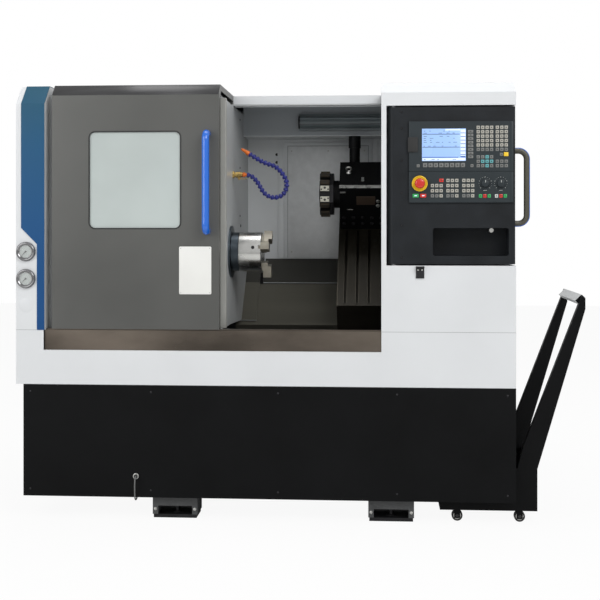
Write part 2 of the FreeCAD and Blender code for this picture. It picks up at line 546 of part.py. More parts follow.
def jaw(i):
    """A stepped jaw with its key in the chuck's way."""
    face = CHUCK_X + CHUCK_L + GAP
    half = JAW_W / 2
    y0, y1 = AXIS_Y + JAW_R_IN, AXIS_Y + JAW_R_OUT
    base = block(face, face + JAW_L - JAW_STEP, y0, y1, AXIS_Z - half, AXIS_Z + half)
    step = block(face + JAW_L - JAW_STEP, face + JAW_L, y0 + 16, y1, AXIS_Z - half, AXIS_Z + half)
    key = block(face - JAW_KEY_D + GAP, face, y0, AXIS_Y + CHUCK_R - 6,
                AXIS_Z - JAW_KEY_W / 2, AXIS_Z + JAW_KEY_W / 2)
    return radial(fused([base, step, key]), JAW_ANGLE + 120 * i)


def grooved_pulley(x, y, z, radius, bore, length):
    """A flanged pulley on the x axis; the belt runs between its two rims."""
    rim = 3
    core = ring(X_AXIS, (x, y, z), radius, bore, length)
    rims = [ring(X_AXIS, (x + dx, y, z), radius + BELT_T + 2, radius - 4, rim - GAP)
            for dx in (0, length - rim + GAP)]
    return fused([core] + rims)


def spindle_pulley():
    return grooved_pulley(PULLEY_X, AXIS_Y, AXIS_Z, PULLEY_R, SHAFT_R + GAP / 3, PULLEY_L)


def motor_pulley():
    return grooved_pulley(PULLEY_X, MOTOR_Y, MOTOR_Z, MOTOR_PULLEY_R, 20, PULLEY_L).fuse(
        rod(X_AXIS, (PULLEY_X, MOTOR_Y, MOTOR_Z), 20, MOTOR_X - PULLEY_X - GAP))


def belt_loop(extra):
    """The closed space inside a belt that is extra away from both pulleys."""
    a, b = V(0, AXIS_Y, AXIS_Z), V(0, MOTOR_Y, MOTOR_Z)
    ra, rb = PULLEY_R + extra, MOTOR_PULLEY_R + extra
    x = PULLEY_X + (PULLEY_L - BELT_W) / 2
    line = b - a
    lean = math.acos((ra - rb) / line.Length)
    at = math.atan2(line.z, line.y)
    corners = []
    for centre, r, side in ((a, ra, 1), (b, rb, 1), (b, rb, -1), (a, ra, -1)):
        corners.append((centre.y + r * math.cos(at + side * lean),
                        centre.z + r * math.sin(at + side * lean)))
    web = prism(corners, X_AXIS, x, BELT_W)
    return fused([web, rod(X_AXIS, (x, a.y, a.z), ra, BELT_W), rod(X_AXIS, (x, b.y, b.z), rb, BELT_W)])


def drive_belt():
    return belt_loop(GAP + BELT_T).cut(belt_loop(GAP))


def spindle_motor():
    """The spindle motor on its feet on the base's deck."""
    body = rod(X_AXIS, (MOTOR_X, MOTOR_Y, MOTOR_Z), MOTOR_R, MOTOR_L)
    feet = block(MOTOR_X + 30, MOTOR_X + MOTOR_L - 30, MOTOR_Y - 90, MOTOR_Y + 90, BAND_Z,
                 MOTOR_Z - 40)
    return fused([body, feet])


def chuck_cylinder():
    """The hydraulic cylinder that works the chuck, on the spindle's tail."""
    body = ring(X_AXIS, (CYL_X, AXIS_Y, AXIS_Z), CYL_R, BORE_R, CYL_L)
    collar = ring(X_AXIS, (CYL_X + CYL_L, AXIS_Y, AXIS_Z), SHAFT_R, BORE_R, SHAFT_X - CYL_X - CYL_L)
    return fused([body, collar])


# ---- bed, saddle and cross slide
def bed_casting():
    """The slanted bed with its two ways, the front cross members and the foot brackets."""
    x1 = BED_R
    low, high = slope(BED_S0, BED_FACE_N), slope(GUARD_S2 - 20, BED_FACE_N)
    back = WALL_Y + FOOT_BACK
    outline = [(low[0], FOOT_TOP), low, high, (back, high[1]), (back, FOOT_TOP)]
    body = prism(outline, X_AXIS, BED_X, x1 - BED_X)
    ways = [slant_block(HEAD_FOOT_R + 1, x1, s, s + WAY_W, BED_FACE_N, BED_FACE_N + WAY_T)
            for s in WAY_S]
    beams = [block(x, x + FOOT_L, FOOT_Y0, back, FOOT_TOP, BASE_Z + BEAM_RISE) for x in FOOT_X]
    beams += [block(x, x + FOOT_L, SHEET, CASE_D - SHEET, BASE_Z, BASE_Z + BEAM_RISE) for x in FOOT_X]
    core = [(low[0] + BED_WALL, FOOT_TOP - 1), (low[0] + BED_WALL, low[1] - BED_WALL),
            (high[0] - BED_WALL, high[1] - 3 * BED_WALL), (back - BED_WALL, high[1] - 3 * BED_WALL),
            (back - BED_WALL, FOOT_TOP - 1)]
    cell = (x1 - BED_X - BED_WALL) / BED_CELLS
    cells = [prism(core, X_AXIS, BED_X + BED_WALL + cell * i, cell - BED_WALL)
             for i in range(BED_CELLS)]
    body = body.cut(fused(cells))
    whole = fused([body] + ways + beams + [foot_bracket(x, y) for x, y in foot_places()])
    for x, y in foot_places():
        whole = whole.cut(rod(Z_AXIS, (x + FOOT_L / 2, y + FOOT_D / 2, 0), FOOT_SCREW_R + GAP,
                              BASE_Z - 1))
    return whole


def foot_places():
    return [(x, y) for x in FOOT_X for y in (FOOT_Y0, WALL_Y + FOOT_BACK - FOOT_D)]


def foot_bracket(x, y):
    """An open-fronted bracket: two cheeks and a web under the bed."""
    outer = block(x, x + FOOT_L, y, y + FOOT_D, PAD_T + RUN, FOOT_TOP)
    room = block(x + 22, x + FOOT_L - 22, y - 1, y + FOOT_D - 14, 0, FOOT_TOP - 8)
    return outer.cut(room)


def levelling_feet():
    """Four pads, each with its upright screw and lock nut."""
    feet = []
    for x, y in foot_places():
        pad = block(x + 4, x + FOOT_L - 4, y + 2, y + FOOT_D - 2, 0, PAD_T)
        cx, cy = x + FOOT_L / 2, y + FOOT_D / 2
        screw = rod(Z_AXIS, (cx, cy, 0), FOOT_SCREW_R, BASE_Z - 5)
        nut = rod(Z_AXIS, (cx, cy, FOOT_TOP - 8 - 14 - RUN), 2 * FOOT_SCREW_R, 14)
        feet.append(fused([pad, screw, nut]))
    return Part.Compound(feet)


def saddle():
    """The saddle: a block that bridges the ways, and the nose that carries the slide forward."""
    x1 = SADDLE_X + SADDLE_L
    low = slant_block(SADDLE_X, x1, GUARD_S0, GUARD_S1, BED_FACE_N + WAY_T + RUN, SADDLE_N)
    bridge = slant_block(SADDLE_X, x1, SADDLE_S0, GUARD_S2, SADDLE_LOW_N, SLIDE_N0 - RUN)
    room = slant_block(SADDLE_X + 20, x1 - 20, SADDLE_S0 + 20, GUARD_S0 - 20, 0, SADDLE_N + 60)
    return fused([low, bridge]).cut(room)


def way_cover():
    """The folded sheet on the saddle's left that keeps chips off the ways."""
    x0 = WALL_X - 10
    sheet = slant_block(x0, SADDLE_X, GUARD_S0, GUARD_S1, COVER_N - SHEET, COVER_N)
    lip = slant_block(x0, SADDLE_X, GUARD_S0, GUARD_S0 + SHEET, COVER_N - 30, COVER_N)
    return fused([sheet, lip])


def cross_slide():
    """The slotted slide plate."""
    x1 = SADDLE_X + SADDLE_L
    plate = slant_block(SADDLE_X, x1, SADDLE_S0, SLIDE_S1, SLIDE_N0, SLIDE_N1)
    slots = []
    for i in range(SLOT_COUNT):
        x = SADDLE_X + SLOT_FIRST + SLOT_PITCH * i
        slots.append(slant_block(x - SLOT_W / 2, x + SLOT_W / 2, SADDLE_S0 + 14, HOUSING_S0 - 8,
                                 SLIDE_N1 - SLOT_D, SLIDE_N1 + 1))
        slots.append(slant_block(x - SLOT_W, x + SLOT_W, SADDLE_S0 + 14, HOUSING_S0 - 8,
                                 SLIDE_N1 - 2 * SLOT_D, SLIDE_N1 - SLOT_D))
    return plate.cut(fused(slots))


def turret_housing():
    """The turret's gear housing on the slide, its hub and the upright cable duct behind."""
    body = slant_block(HOUSING_X, HOUSING_X + HOUSING_L, HOUSING_S0, SLIDE_S1, SLIDE_N1, HOUSING_N)
    y, z = slope(TURRET_S, TURRET_N)
    hub = rod(X_AXIS, (TURRET_X + TURRET_L + RUN, y, z), HUB_R, HOUSING_X - TURRET_X - TURRET_L)
    duct_z = SLIDE_S1 * math.sqrt(2) - DUCT_Y - 30
    duct = rod(Z_AXIS, (DUCT_X, DUCT_Y, duct_z), DUCT_R, DUCT_TOP - duct_z)
    collar = rod(Z_AXIS, (DUCT_X, DUCT_Y, DUCT_TOP - COLLAR_L), DUCT_R + 4, COLLAR_L)
    return fused([body, hub, duct, collar])


def turret_disc():
    """The tool disc: an eight-sided plate with a slot for a square tool at each flat."""
    y, z = slope(TURRET_S, TURRET_N)
    corners = []
    for i in range(TURRET_SIDES):
        a = 2 * math.pi * (i + 0.5) / TURRET_SIDES
        corners.append((y + TURRET_R * math.cos(a), z + TURRET_R * math.sin(a)))
    disc = prism(corners, X_AXIS, TURRET_X, TURRET_L)
    for i in range(TURRET_SIDES):
        flat = TURRET_R * math.cos(math.pi / TURRET_SIDES)
        slot = block(TURRET_X - 1, TURRET_X + TURRET_L - SLOT_WALL, y + flat - TOOL_SLOT_D, y + flat + 1,
                     z - TOOL_SLOT_W / 2, z + TOOL_SLOT_W / 2)
        slot.rotate(V(0, y, z), X_AXIS, 360.0 * i / TURRET_SIDES)
        disc = disc.cut(slot)
    cap = rod(X_AXIS, (TURRET_X - 5, y, z), 24, 5)
    return disc.fuse(cap)


def tool_clamps():
    """The wedge clamps, one on each side of a tool slot, as a group of equal pieces."""
    y, z = slope(TURRET_S, TURRET_N)
    flat = TURRET_R * math.cos(math.pi / TURRET_SIDES)
    clamps = []
    for i in range(TURRET_SIDES):
        for low in (z - TOOL_SLOT_W / 2 - 1 - CLAMP_W, z + TOOL_SLOT_W / 2 + 1):
            clamp = block(TURRET_X + 4, TURRET_X + TURRET_L - SLOT_WALL - 2, y + flat + GAP,
                          y + flat + CLAMP_T, low, low + CLAMP_W)
            clamp.rotate(V(0, y, z), X_AXIS, 360.0 * i / TURRET_SIDES)
            clamps.append(clamp)
    return Part.Compound(clamps)


# ---- coolant line
def coolant_valve():
    """The brass tap on the left wall: hexagon, barrel and the lever's stem."""
    x0 = WALL_X + WALL_T
    base = rod(X_AXIS, (x0, TAP_Y, TAP_Z), TAP_R + 4, 12)
    barrel = rod(X_AXIS, (x0, TAP_Y, TAP_Z), TAP_R, TAP_L)
    stem = rod(-Z_AXIS, (x0 + 28, TAP_Y, TAP_Z), 5, TAP_R + 6)
    return fused([base, barrel, stem])


def valve_lever():
    x = WALL_X + WALL_T + 28
    z = TAP_Z - TAP_R - 6 - 3 - GAP
    hub = rod(Z_AXIS, (x, TAP_Y, z), 7, 3)
    arm = block(x, x + 34, TAP_Y - 4, TAP_Y + 4, z, z + 3)
    return fused([hub, arm])


def rounded_path(points):
    """Straight runs joined by tangent arcs, and the middle and direction of each run and arc."""
    edges, stations, last = [], [], points[0]
    for before, at, after in zip(points, points[1:], points[2:]):
        a, b = before - at, after - at
        shorter = min(a.Length, b.Length)
        a.normalize()
        b.normalize()
        reach = 0.42 * shorter
        radius = reach * math.tan(a.getAngle(b) / 2)
        inward, along = a + b, b - a
        inward.normalize()
        along.normalize()
        start, end = at + a * reach, at + b * reach
        middle = at + inward * (math.hypot(radius, reach) - radius)
        stations += [((last + start) * 0.5, -a), (middle, along)]
        edges += [Part.LineSegment(last, start).toShape(), Part.Arc(start, middle, end).toShape()]
        last = end
    edges.append(Part.LineSegment(last, points[-1]).toShape())
    return Part.Wire(edges), stations


def coolant_hose():
    """The jointed hose: one socket after the other on a bored core that follows its bent line."""
    start = V(WALL_X + WALL_T + TAP_L + GAP, TAP_Y, TAP_Z)
    points = [start] + [V(x, TAP_Y, z) for x, z in HOSE_LINE]
    path, stations = rounded_path(points)
    core, bore = [path.makePipeShell([Part.Wire(Part.makeCircle(r, start, X_AXIS))], True, False)
                  for r in (HOSE_R * 0.7, HOSE_BORE)]
    links = [Part.makeCone(HOSE_R, HOSE_R * 0.9, HOSE_LINK, at - along * (HOSE_LINK / 2), along)
             for at, along in stations]
    out = points[-1] - points[-2]
    out.normalize()
    tip = Part.makeCone(HOSE_R, HOSE_BORE + 1.2, NOZZLE_L, points[-1] - out, out)
    mouth = Part.makeCylinder(HOSE_BORE, NOZZLE_L, points[-1], out)
    return core.multiFuse(links + [tip]).cut(bore).cut(mouth)


# ---- operator panel
def pendant_box():
    """The swinging control box: its round post edge, the box and the tray pocket."""
    x0, x1 = PANEL_X + POST_R, PANEL_R
    y0, y1 = PANEL_FRONT, PANEL_FRONT + PANEL_D
    box = block(x0, x1, y0, y1, PANEL_Z0, PANEL_Z1)
    room = block(x0 + 20, x1 - SHEET, y0 + SHEET, y1 - SHEET, PANEL_Z0 + SHEET, PANEL_Z1 - SHEET)
    post = rod(Z_AXIS, (x0, y0 + POST_R, PANEL_Z0), POST_R, PANEL_Z1 - PANEL_Z0)
    pocket = block(TRAY_X - SHEET, TRAY_X + TRAY_L + SHEET, y0, y0 + TRAY_D + SHEET,
                   TRAY_Z - SHEET, TRAY_Z + TRAY_H + SHEET)
    hollow = rounded_window(TRAY_X, TRAY_X + TRAY_L, TRAY_Z, TRAY_Z + TRAY_H, 10, y0 - 1, y0 + TRAY_D)
    depth = PIN_L - NICHE + GAP
    sockets = [rod(Z_AXIS, (x0, y0 + POST_R, z), PIN_R + GAP, depth + 1)
               for z in (PANEL_Z0 - 1, PANEL_Z1 - depth)]
    return fused([box.cut(room), post, pocket]).cut(hollow).cut(fused(sockets))


def operator_panel():
    """The control's two bezels, one above the other, with the holes for what turns or is pressed."""
    y0 = PANEL_FRONT - UNIT_T
    x1 = UNIT_X + UNIT_L
    upper = block(UNIT_X, x1, y0, PANEL_FRONT, UNIT_SPLIT + 1, UNIT_TOP)
    lower = block(UNIT_X, x1, y0, PANEL_FRONT, UNIT_Z, UNIT_SPLIT - 1)
    joint = block(UNIT_X + 4, x1 - 4, y0 + 3, PANEL_FRONT, UNIT_SPLIT - 1, UNIT_SPLIT + 1)
    glass = block(SCREEN_X, SCREEN_X + SCREEN_L, y0 - 1, y0 + 3, SCREEN_Z, SCREEN_Z + SCREEN_H)
    collar = ring(-Y_AXIS, (STOP_X, y0, DIAL_Z), STOP_COLLAR_R, 10 + GAP, 6)
    stop_hole = rod(Y_AXIS, (STOP_X, y0 - 1, DIAL_Z), 10 + GAP, UNIT_T)
    cuts = [glass, stop_hole]
    for x in DIAL_X:
        cuts.append(rod(Y_AXIS, (x, y0 - 1, DIAL_Z), 4 + GAP, UNIT_T))
    for x in BUTTON_X:
        cuts.append(block(x - GAP, x + BUTTON_L + GAP, y0 - 1, y0 + 5, BUTTON_Z - GAP,
                          BUTTON_Z + BUTTON_H + GAP))
    rings = [ring(-Y_AXIS, (x, y0, DIAL_Z), DIAL_RING_R, 20, 1.5) for x in DIAL_X]
    return fused([upper, lower, joint, collar] + rings).cut(fused(cuts))


def screen():
    y0 = PANEL_FRONT - UNIT_T
    return block(SCREEN_X + GAP, SCREEN_X + SCREEN_L - GAP, y0 + 0.5, y0 + 3,
                 SCREEN_Z + GAP, SCREEN_Z + SCREEN_H - GAP)


def key_places():
    """Lower left corners of the keys."""
    places = []
    for (x, z, pitch_x, pitch_z), count in zip(KEY_BLOCKS, KEY_COUNTS):
        columns, rows = (int(n) for n in count.split("x"))
        places += [(UNIT_X + x + pitch_x * i, UNIT_Z + z + pitch_z * j)
                   for i in range(columns) for j in range(rows)]
    return places


def keypad():
    """The rubber keys, raised from the bezels, as a group of equal pieces."""
    y0 = PANEL_FRONT - UNIT_T
    return Part.Compound([block(x, x + KEY, y0 - KEY_T, y0, z, z + KEY) for x, z in key_places()])


def stop_button():
    y0 = PANEL_FRONT - UNIT_T - STOP_OUT
    head = rod(Y_AXIS, (STOP_X, y0, DIAL_Z), STOP_R, 18)
    head = head.makeFillet(5, [head.Edges[i] for i in range(3)
                               if abs(head.Edges[i].BoundBox.YMin - y0) < 1e-6
                               and head.Edges[i].BoundBox.YLength < 1e-6])
    stem = rod(Y_AXIS, (STOP_X, y0 + 18, DIAL_Z), 10, STOP_OUT - 18 + 1)
    return fused([head, stem])


def override_dial(x):
    """A knurled knob with a raised pointer bar and its shaft."""
    y0 = PANEL_FRONT - UNIT_T - DIAL_OUT
    knob = rod(Y_AXIS, (x, y0 + 4, DIAL_Z), DIAL_R, DIAL_OUT - 4 - 1.5 - GAP)
    bar = block(x - 3, x + 3, y0, y0 + 4, DIAL_Z - DIAL_R + 2, DIAL_Z + DIAL_R - 2)
    shaft = rod(Y_AXIS, (x, y0 + 4, DIAL_Z), 4, DIAL_OUT + 3)
    return fused([knob, bar, shaft])


def push_button(x):
    y0 = PANEL_FRONT - UNIT_T - 4
    return block(x, x + BUTTON_L, y0, y0 + 6, BUTTON_Z, BUTTON_Z + BUTTON_H)


def panel_handle():
    """The bent tube handle on the box's free side."""
    y = PANEL_FRONT + 40
    lo, hi = HANDLE_Z + HANDLE_R, HANDLE_Z + HANDLE_H - HANDLE_R
    x, half = PANEL_R + HANDLE_OUT - HANDLE_R, math.sqrt(0.5) * HANDLE_BEND
    b = HANDLE_BEND
    path = Part.Wire([
        Part.LineSegment(V(PANEL_R, y, lo), V(x - b, y, lo)).toShape(),
        Part.Arc(V(x - b, y, lo), V(x - b + half, y, lo + b - half), V(x, y, lo + b)).toShape(),
        Part.LineSegment(V(x, y, lo + b), V(x, y, hi - b)).toShape(),
        Part.Arc(V(x, y, hi - b), V(x - b + half, y, hi - b + half), V(x - b, y, hi)).toShape(),
        Part.LineSegment(V(x - b, y, hi), V(PANEL_R, y, hi)).toShape()])
    section = Part.Wire(Part.makeCircle(HANDLE_R, V(PANEL_R, y, lo), X_AXIS))
    return path.makePipeShell([section], True, False)


def pendant_bracket():
    """The small stop bracket on the column below the control box."""
    x0, x1, z1 = BRACKET_X, BRACKET_X + BRACKET_L, PANEL_Z0 - NICHE - SHEET
    plate = block(x0, x1, -4, 0, z1 - 48, z1)
    shelf = block(x0, x1, -24, -4, z1 - 6, z1)
    return fused([plate, shelf])


# ---- pull-out tank
def coolant_tank():
    """The open tank on four wheels, with the axle ears and the end plates for the arms."""
    x0, x1, y1 = TANK_X, TANK_R, TANK_Y + TANK_D
    shell = block(x0, x1, TANK_Y, y1, TANK_Z0, TANK_Z1)
    room = block(x0 + TANK_T, x1 - TANK_T, TANK_Y + TANK_T, y1 - TANK_T, TANK_Z0 + TANK_T, TANK_Z1 + 1)
    ears = []
    for x in wheel_places():
        for y in wheel_sides():
            for dy in (-6, WHEEL_T + 2):
                ears.append(block(x - 12, x + 12, y + dy, y + dy + 4, WHEEL_R - 10, TANK_Z0))
    axle_holes = [rod(Y_AXIS, (x, TANK_Y, WHEEL_R), AXLE_R + GAP, TANK_D) for x in wheel_places()]
    return fused([shell.cut(room)] + ears).cut(fused(axle_holes))


def wheel_places():
    return (TANK_X + WHEEL_INSET, TANK_R - WHEEL_INSET)


def wheel_sides():
    return (TANK_Y + 10, TANK_Y + TANK_D - 10 - WHEEL_T)


def wheel_set(x):
    """Two wheels on their common axle."""
    y0, y1 = wheel_sides()
    axle = rod(Y_AXIS, (x, y0 - 8, WHEEL_R), AXLE_R, y1 - y0 + WHEEL_T + 16)
    wheels = [rod(Y_AXIS, (x, y, WHEEL_R), WHEEL_R, WHEEL_T) for y in (y0, y1)]
    return fused([axle] + wheels)


def tank_handle():
    """The push frame: two tapered arms and the bar across their tops."""
    x, z = TANK_R, TANK_Z1
    tip = x + ARM_REACH
    outline = [(x - ARM_ROOT, z), (x, z), (tip, ARM_TOP - 56), (tip, ARM_TOP - 12),
               (tip - 12, ARM_TOP), (x + 125, ARM_TOP - 140), (x - ARM_ROOT + 22, z + 84)]
    y1 = TANK_Y + TANK_D
    arms = [prism(outline, Y_AXIS, y, ARM_T) for y in (TANK_Y, y1 - ARM_T)]
    bar = prism([(tip - 12, ARM_TOP), (tip, ARM_TOP - 12), (tip - 22, ARM_TOP - 38),
                 (tip - 36, ARM_TOP - 24)], Y_AXIS, TANK_Y + ARM_T - 5, TANK_D - 2 * ARM_T + 10)
    return fused(arms + [bar])


# ---- earth lead
def earth_lead():
    """The thin lead that leaves its gland, hangs down the base and turns in to a lug behind it."""
    y = -GLAND_OUT - 2                      # start of the first bend
    out, low = y - EARTH_BEND, EARTH_LOW
    half = math.sqrt(0.5) * EARTH_BEND
    at = [V(EARTH_X, *yz) for yz in (
        (-GLAND_OUT, EARTH_Z), (y, EARTH_Z), (y - half, EARTH_Z - EARTH_BEND + half),
        (out, EARTH_Z - EARTH_BEND), (out, low), (out + EARTH_TURN, low - EARTH_TURN),
        (EARTH_IN, low), (EARTH_IN, EARTH_END))]
    path = Part.Wire([Part.LineSegment(at[0], at[1]).toShape(), Part.Arc(at[1], at[2], at[3]).toShape(),
                      Part.LineSegment(at[3], at[4]).toShape(), Part.Arc(at[4], at[5], at[6]).toShape(),
                      Part.LineSegment(at[6], at[7]).toShape()])
    section = Part.Wire(Part.makeCircle(EARTH_R, at[0], -Y_AXIS))
    lead = path.makePipeShell([section], True, False)
    print(f"earth lead bends {EARTH_BEND} and {EARTH_TURN} mm, {path.Length:.1f} mm long, volume"
          f" {lead.Volume:.0f}, section times length {math.pi * EARTH_R ** 2 * path.Length:.0f} mm3")
    return lead


def row_shift():
    """Moves the floor point under the middle of the overall box to the origin."""
    x1 = TANK_R + ARM_REACH
    y0, y1 = -GRIP_OUT - GRIP_R, CASE_D + 27
    return V(-x1 / 2, -(y0 + y1) / 2, 0)


PIECES = {
    "base_skirt": base_skirt, "bed_casting": bed_casting, "levelling_feet": levelling_feet,
    "front_band": front_band, "splash_apron": splash_apron, "left_cover": left_cover,
    "blue_panel": blue_panel, "inner_panel": inner_panel, "left_wall": left_wall,
    "back_wall": back_wall, "roof": roof, "right_column": right_column,
    "rear_cabinet": rear_cabinet, "cabinet_door": cabinet_door, "work_lamp": work_lamp,
    "gauge_case_1": lambda: gauge_case(GAUGE_Z[0]), "gauge_case_2": lambda: gauge_case(GAUGE_Z[1]),
    "gauge_needle_1": lambda: gauge_needle(GAUGE_Z[0]),
    "gauge_needle_2": lambda: gauge_needle(GAUGE_Z[1]),
    "door_panel": door_panel, "door_window": door_window, "window_seal": window_seal,
    "door_handle": door_handle, "earth_lead": earth_lead,
    "headstock": headstock, "spindle_bearings": spindle_bearings, "spindle": spindle,
    "chuck_body": chuck_body, "jaw_1": lambda: jaw(0), "jaw_2": lambda: jaw(1),
    "jaw_3": lambda: jaw(2), "spindle_pulley": spindle_pulley, "motor_pulley": motor_pulley,
    "drive_belt": drive_belt, "spindle_motor": spindle_motor, "chuck_cylinder": chuck_cylinder,
    "saddle": saddle, "way_cover": way_cover, "cross_slide": cross_slide,
    "turret_housing": turret_housing, "turret_disc": turret_disc, "tool_clamps": tool_clamps,
    "coolant_valve": coolant_valve, "valve_lever": valve_lever, "coolant_hose": coolant_hose,
    "pendant_box": pendant_box, "operator_panel": operator_panel, "screen": screen,
    "keypad": keypad, "stop_button": stop_button,
    "feed_dial": lambda: override_dial(DIAL_X[0]), "speed_dial": lambda: override_dial(DIAL_X[1]),
    "start_button": lambda: push_button(BUTTON_X[0]), "reset_button": lambda: push_button(BUTTON_X[1]),
    "panel_handle": panel_handle, "pendant_bracket": pendant_bracket,
    "coolant_tank": coolant_tank, "tank_handle": tank_handle,
    "wheel_set_1": lambda: wheel_set(wheel_places()[0]),
    "wheel_set_2": lambda: wheel_set(wheel_places()[1]),
}


def main():
    os.makedirs("parts", exist_ok=True)
    shift = row_shift()
    overall = FreeCAD.BoundBox()
    for name, make in PIECES.items():
        shape = make()
        shape.translate(shift)
        if not shape.isValid():
            print("not valid:", name)
        overall.add(shape.BoundBox)
        print(f"{name:18s} solids {len(shape.Solids):3d}  {shape.Volume / 1e6:9.3f} l")
        shape.exportStep(os.path.join("parts", name + ".step"))
    print("overall", overall)


main()
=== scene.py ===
# %% [markdown]
# # A slant-bed turning lathe
#
# The lathe's pieces come in as a fixed frame, already at their real size and place. This script
# gives them their finishes and adds the small forms on the plain solids: dials, keys, hose links,
# joints and screws. It starts with the frame.

import math
import random

import bmesh
import bpy
from mathutils import Matrix, Vector


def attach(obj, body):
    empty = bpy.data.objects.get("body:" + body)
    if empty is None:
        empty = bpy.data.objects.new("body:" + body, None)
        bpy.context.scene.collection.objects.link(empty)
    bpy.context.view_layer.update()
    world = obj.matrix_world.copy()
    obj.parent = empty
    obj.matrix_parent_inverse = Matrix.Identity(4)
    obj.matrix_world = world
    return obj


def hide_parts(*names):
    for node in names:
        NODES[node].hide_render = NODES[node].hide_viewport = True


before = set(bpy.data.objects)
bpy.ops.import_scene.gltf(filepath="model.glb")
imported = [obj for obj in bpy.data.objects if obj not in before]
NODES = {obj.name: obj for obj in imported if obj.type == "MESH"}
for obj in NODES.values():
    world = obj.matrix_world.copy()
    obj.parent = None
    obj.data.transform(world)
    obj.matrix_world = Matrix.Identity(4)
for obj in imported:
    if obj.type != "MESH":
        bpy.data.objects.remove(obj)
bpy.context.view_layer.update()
print("pieces in the frame:", len(NODES))

# %% [markdown]
# Everything below is placed as a fitter would measure it, in millimetres on the machine: x from
# the casing's left side, y back from its front face, z up from the floor. The frame itself is in
# metres round the middle of the machine, so one small function turns the one into the other.

# %% Machine millimetres to the frame
MACHINE_MIDDLE_X, MACHINE_MIDDLE_Y = 1158.0, 690.5
SPINDLE_Y, SPINDLE_Z = 340.0, 1085.0


def spot(x, y, z):
    """A point measured on the machine, in the frame's metres."""
    return Vector((x - MACHINE_MIDDLE_X, y - MACHINE_MIDDLE_Y, z)) / 1000


def mm(value):
    return value / 1000


def place_in_scene(name, data):
    """A new object in the scene that shows the given data."""
    obj = bpy.data.objects.new(name, data)
    bpy.context.scene.collection.objects.link(obj)
    return obj


print("casing's front left corner at", tuple(round(v, 3) for v in spot(0, 0, 0)))

# %% [markdown]
# ## Camera
#
# The camera stands a little to the right of the machine's middle, at chest height, and looks
# slightly to the left with its back upright. That is a shift-lens view: upright edges stay
# upright, and the lens is shifted down instead of being tilted. A long lens keeps the
# proportions close to those of a drawing.

# %% Camera
CAMERA_PLACE = (0.327, -5.3235, 1.201)
CAMERA_YAW = math.radians(3.9)
camera_data = bpy.data.cameras.new("front_view")
camera_data.lens = 69.0
camera_data.sensor_width = 36.0
camera_data.shift_y = -0.125
camera_data.clip_end = 60.0
camera = place_in_scene("front_view", camera_data)
camera.location = CAMERA_PLACE
camera.rotation_euler = (math.radians(90), 0, CAMERA_YAW)
bpy.context.scene.camera = camera
print("camera at", CAMERA_PLACE, "lens", camera_data.lens, "mm")

# %% [markdown]
# ## Earth lead
#
# A thin grey lead leaves a gland low on the base, hangs down the front and passes close under the
# base's lower edge, then turns up to a lug behind it. A lead is one smooth line, so it is a NURBS
# curve: its control points are the corners of the route, and the curve rounds them by itself. The
# order is set after the points are there, because before that Blender would lower it.

# %% Earth lead
EARTH_RADIUS = mm(3)
EARTH_ROUTE = [spot(499, y, z) for y, z in
               ((-6, 177.5), (-27, 177.5), (-27, 82), (28, 82), (28, 112))]


def smooth_line(name, points, radius, order=3):
    """A round line whose control points are the given corners."""
    curve = bpy.data.curves.new(name, "CURVE")
    curve.dimensions = "3D"
    spline = curve.splines.new("NURBS")
    spline.points.add(len(points) - 1)
    for knot, point in zip(spline.points, points):
        knot.co = (*point, 1)
        knot.radius = radius
    spline.order_u = order
    spline.use_endpoint_u = True
    spline.resolution_u = 16
    curve.bevel_depth = 1.0 if radius else 0.0      # times each point's own radius
    curve.bevel_resolution = 5
    curve.use_fill_caps = True
    return place_in_scene(name, curve)


def curve_length(obj):
    """Length of a curve's centre line, measured on its evaluated points."""
    thin = obj.copy()
    thin.data = obj.data.copy()
    thin.data.bevel_depth = 0
    mesh = bpy.data.meshes.new_from_object(thin)
    total = sum((mesh.vertices[e.vertices[0]].co - mesh.vertices[e.vertices[1]].co).length
                for e in mesh.edges)
    bpy.data.meshes.remove(mesh)
    bpy.data.objects.remove(thin)
    return total


earth_lead = smooth_line("earth_lead_line", EARTH_ROUTE, EARTH_RADIUS)
EARTH_LENGTH = curve_length(earth_lead)
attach(earth_lead, "root")
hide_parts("earth_lead")
print("earth lead", round(EARTH_LENGTH, 4), "m long")

# %% [markdown]
# ## Floor, backdrop and light
#
# The machine stands on a plain pale floor. The camera sees the floor and the world as white, and so
# do glossy surfaces and glass, but the light that they throw on the machine stays modest: Light
# Path tells the kinds of ray apart. Two large soft lamps at the front and one above do the
# lighting, so the shadows stay soft.

# %% Floor and world


def add_node(tree, kind, **values):
    """A shader node; a value goes to the input of its name, with _ for a space."""
    node = tree.nodes.new("ShaderNode" + kind)
    for name, value in values.items():
        node.inputs[name.replace("_", " ")].default_value = value
    return node


def wire(tree, *links):
    """Joins nodes by (from node, its output, to node, its input)."""
    for source, output, target, entry in links:
        tree.links.new(source.outputs[output], target.inputs[entry])


def new_material(name):
    """A material with its node tree and its shader node."""
    material = bpy.data.materials.new(name)
    material.use_nodes = True
    return material, material.node_tree, material.node_tree.nodes["Principled BSDF"]


FLOOR_HALF = 12.0
floor_mesh = bpy.data.meshes.new("studio_floor")
floor_mesh.from_pydata([(x * FLOOR_HALF, y * FLOOR_HALF, 0)
                        for x, y in ((-1, -1), (1, -1), (1, 1), (-1, 1))], [], [(0, 1, 2, 3)])
floor = place_in_scene("studio_floor", floor_mesh)

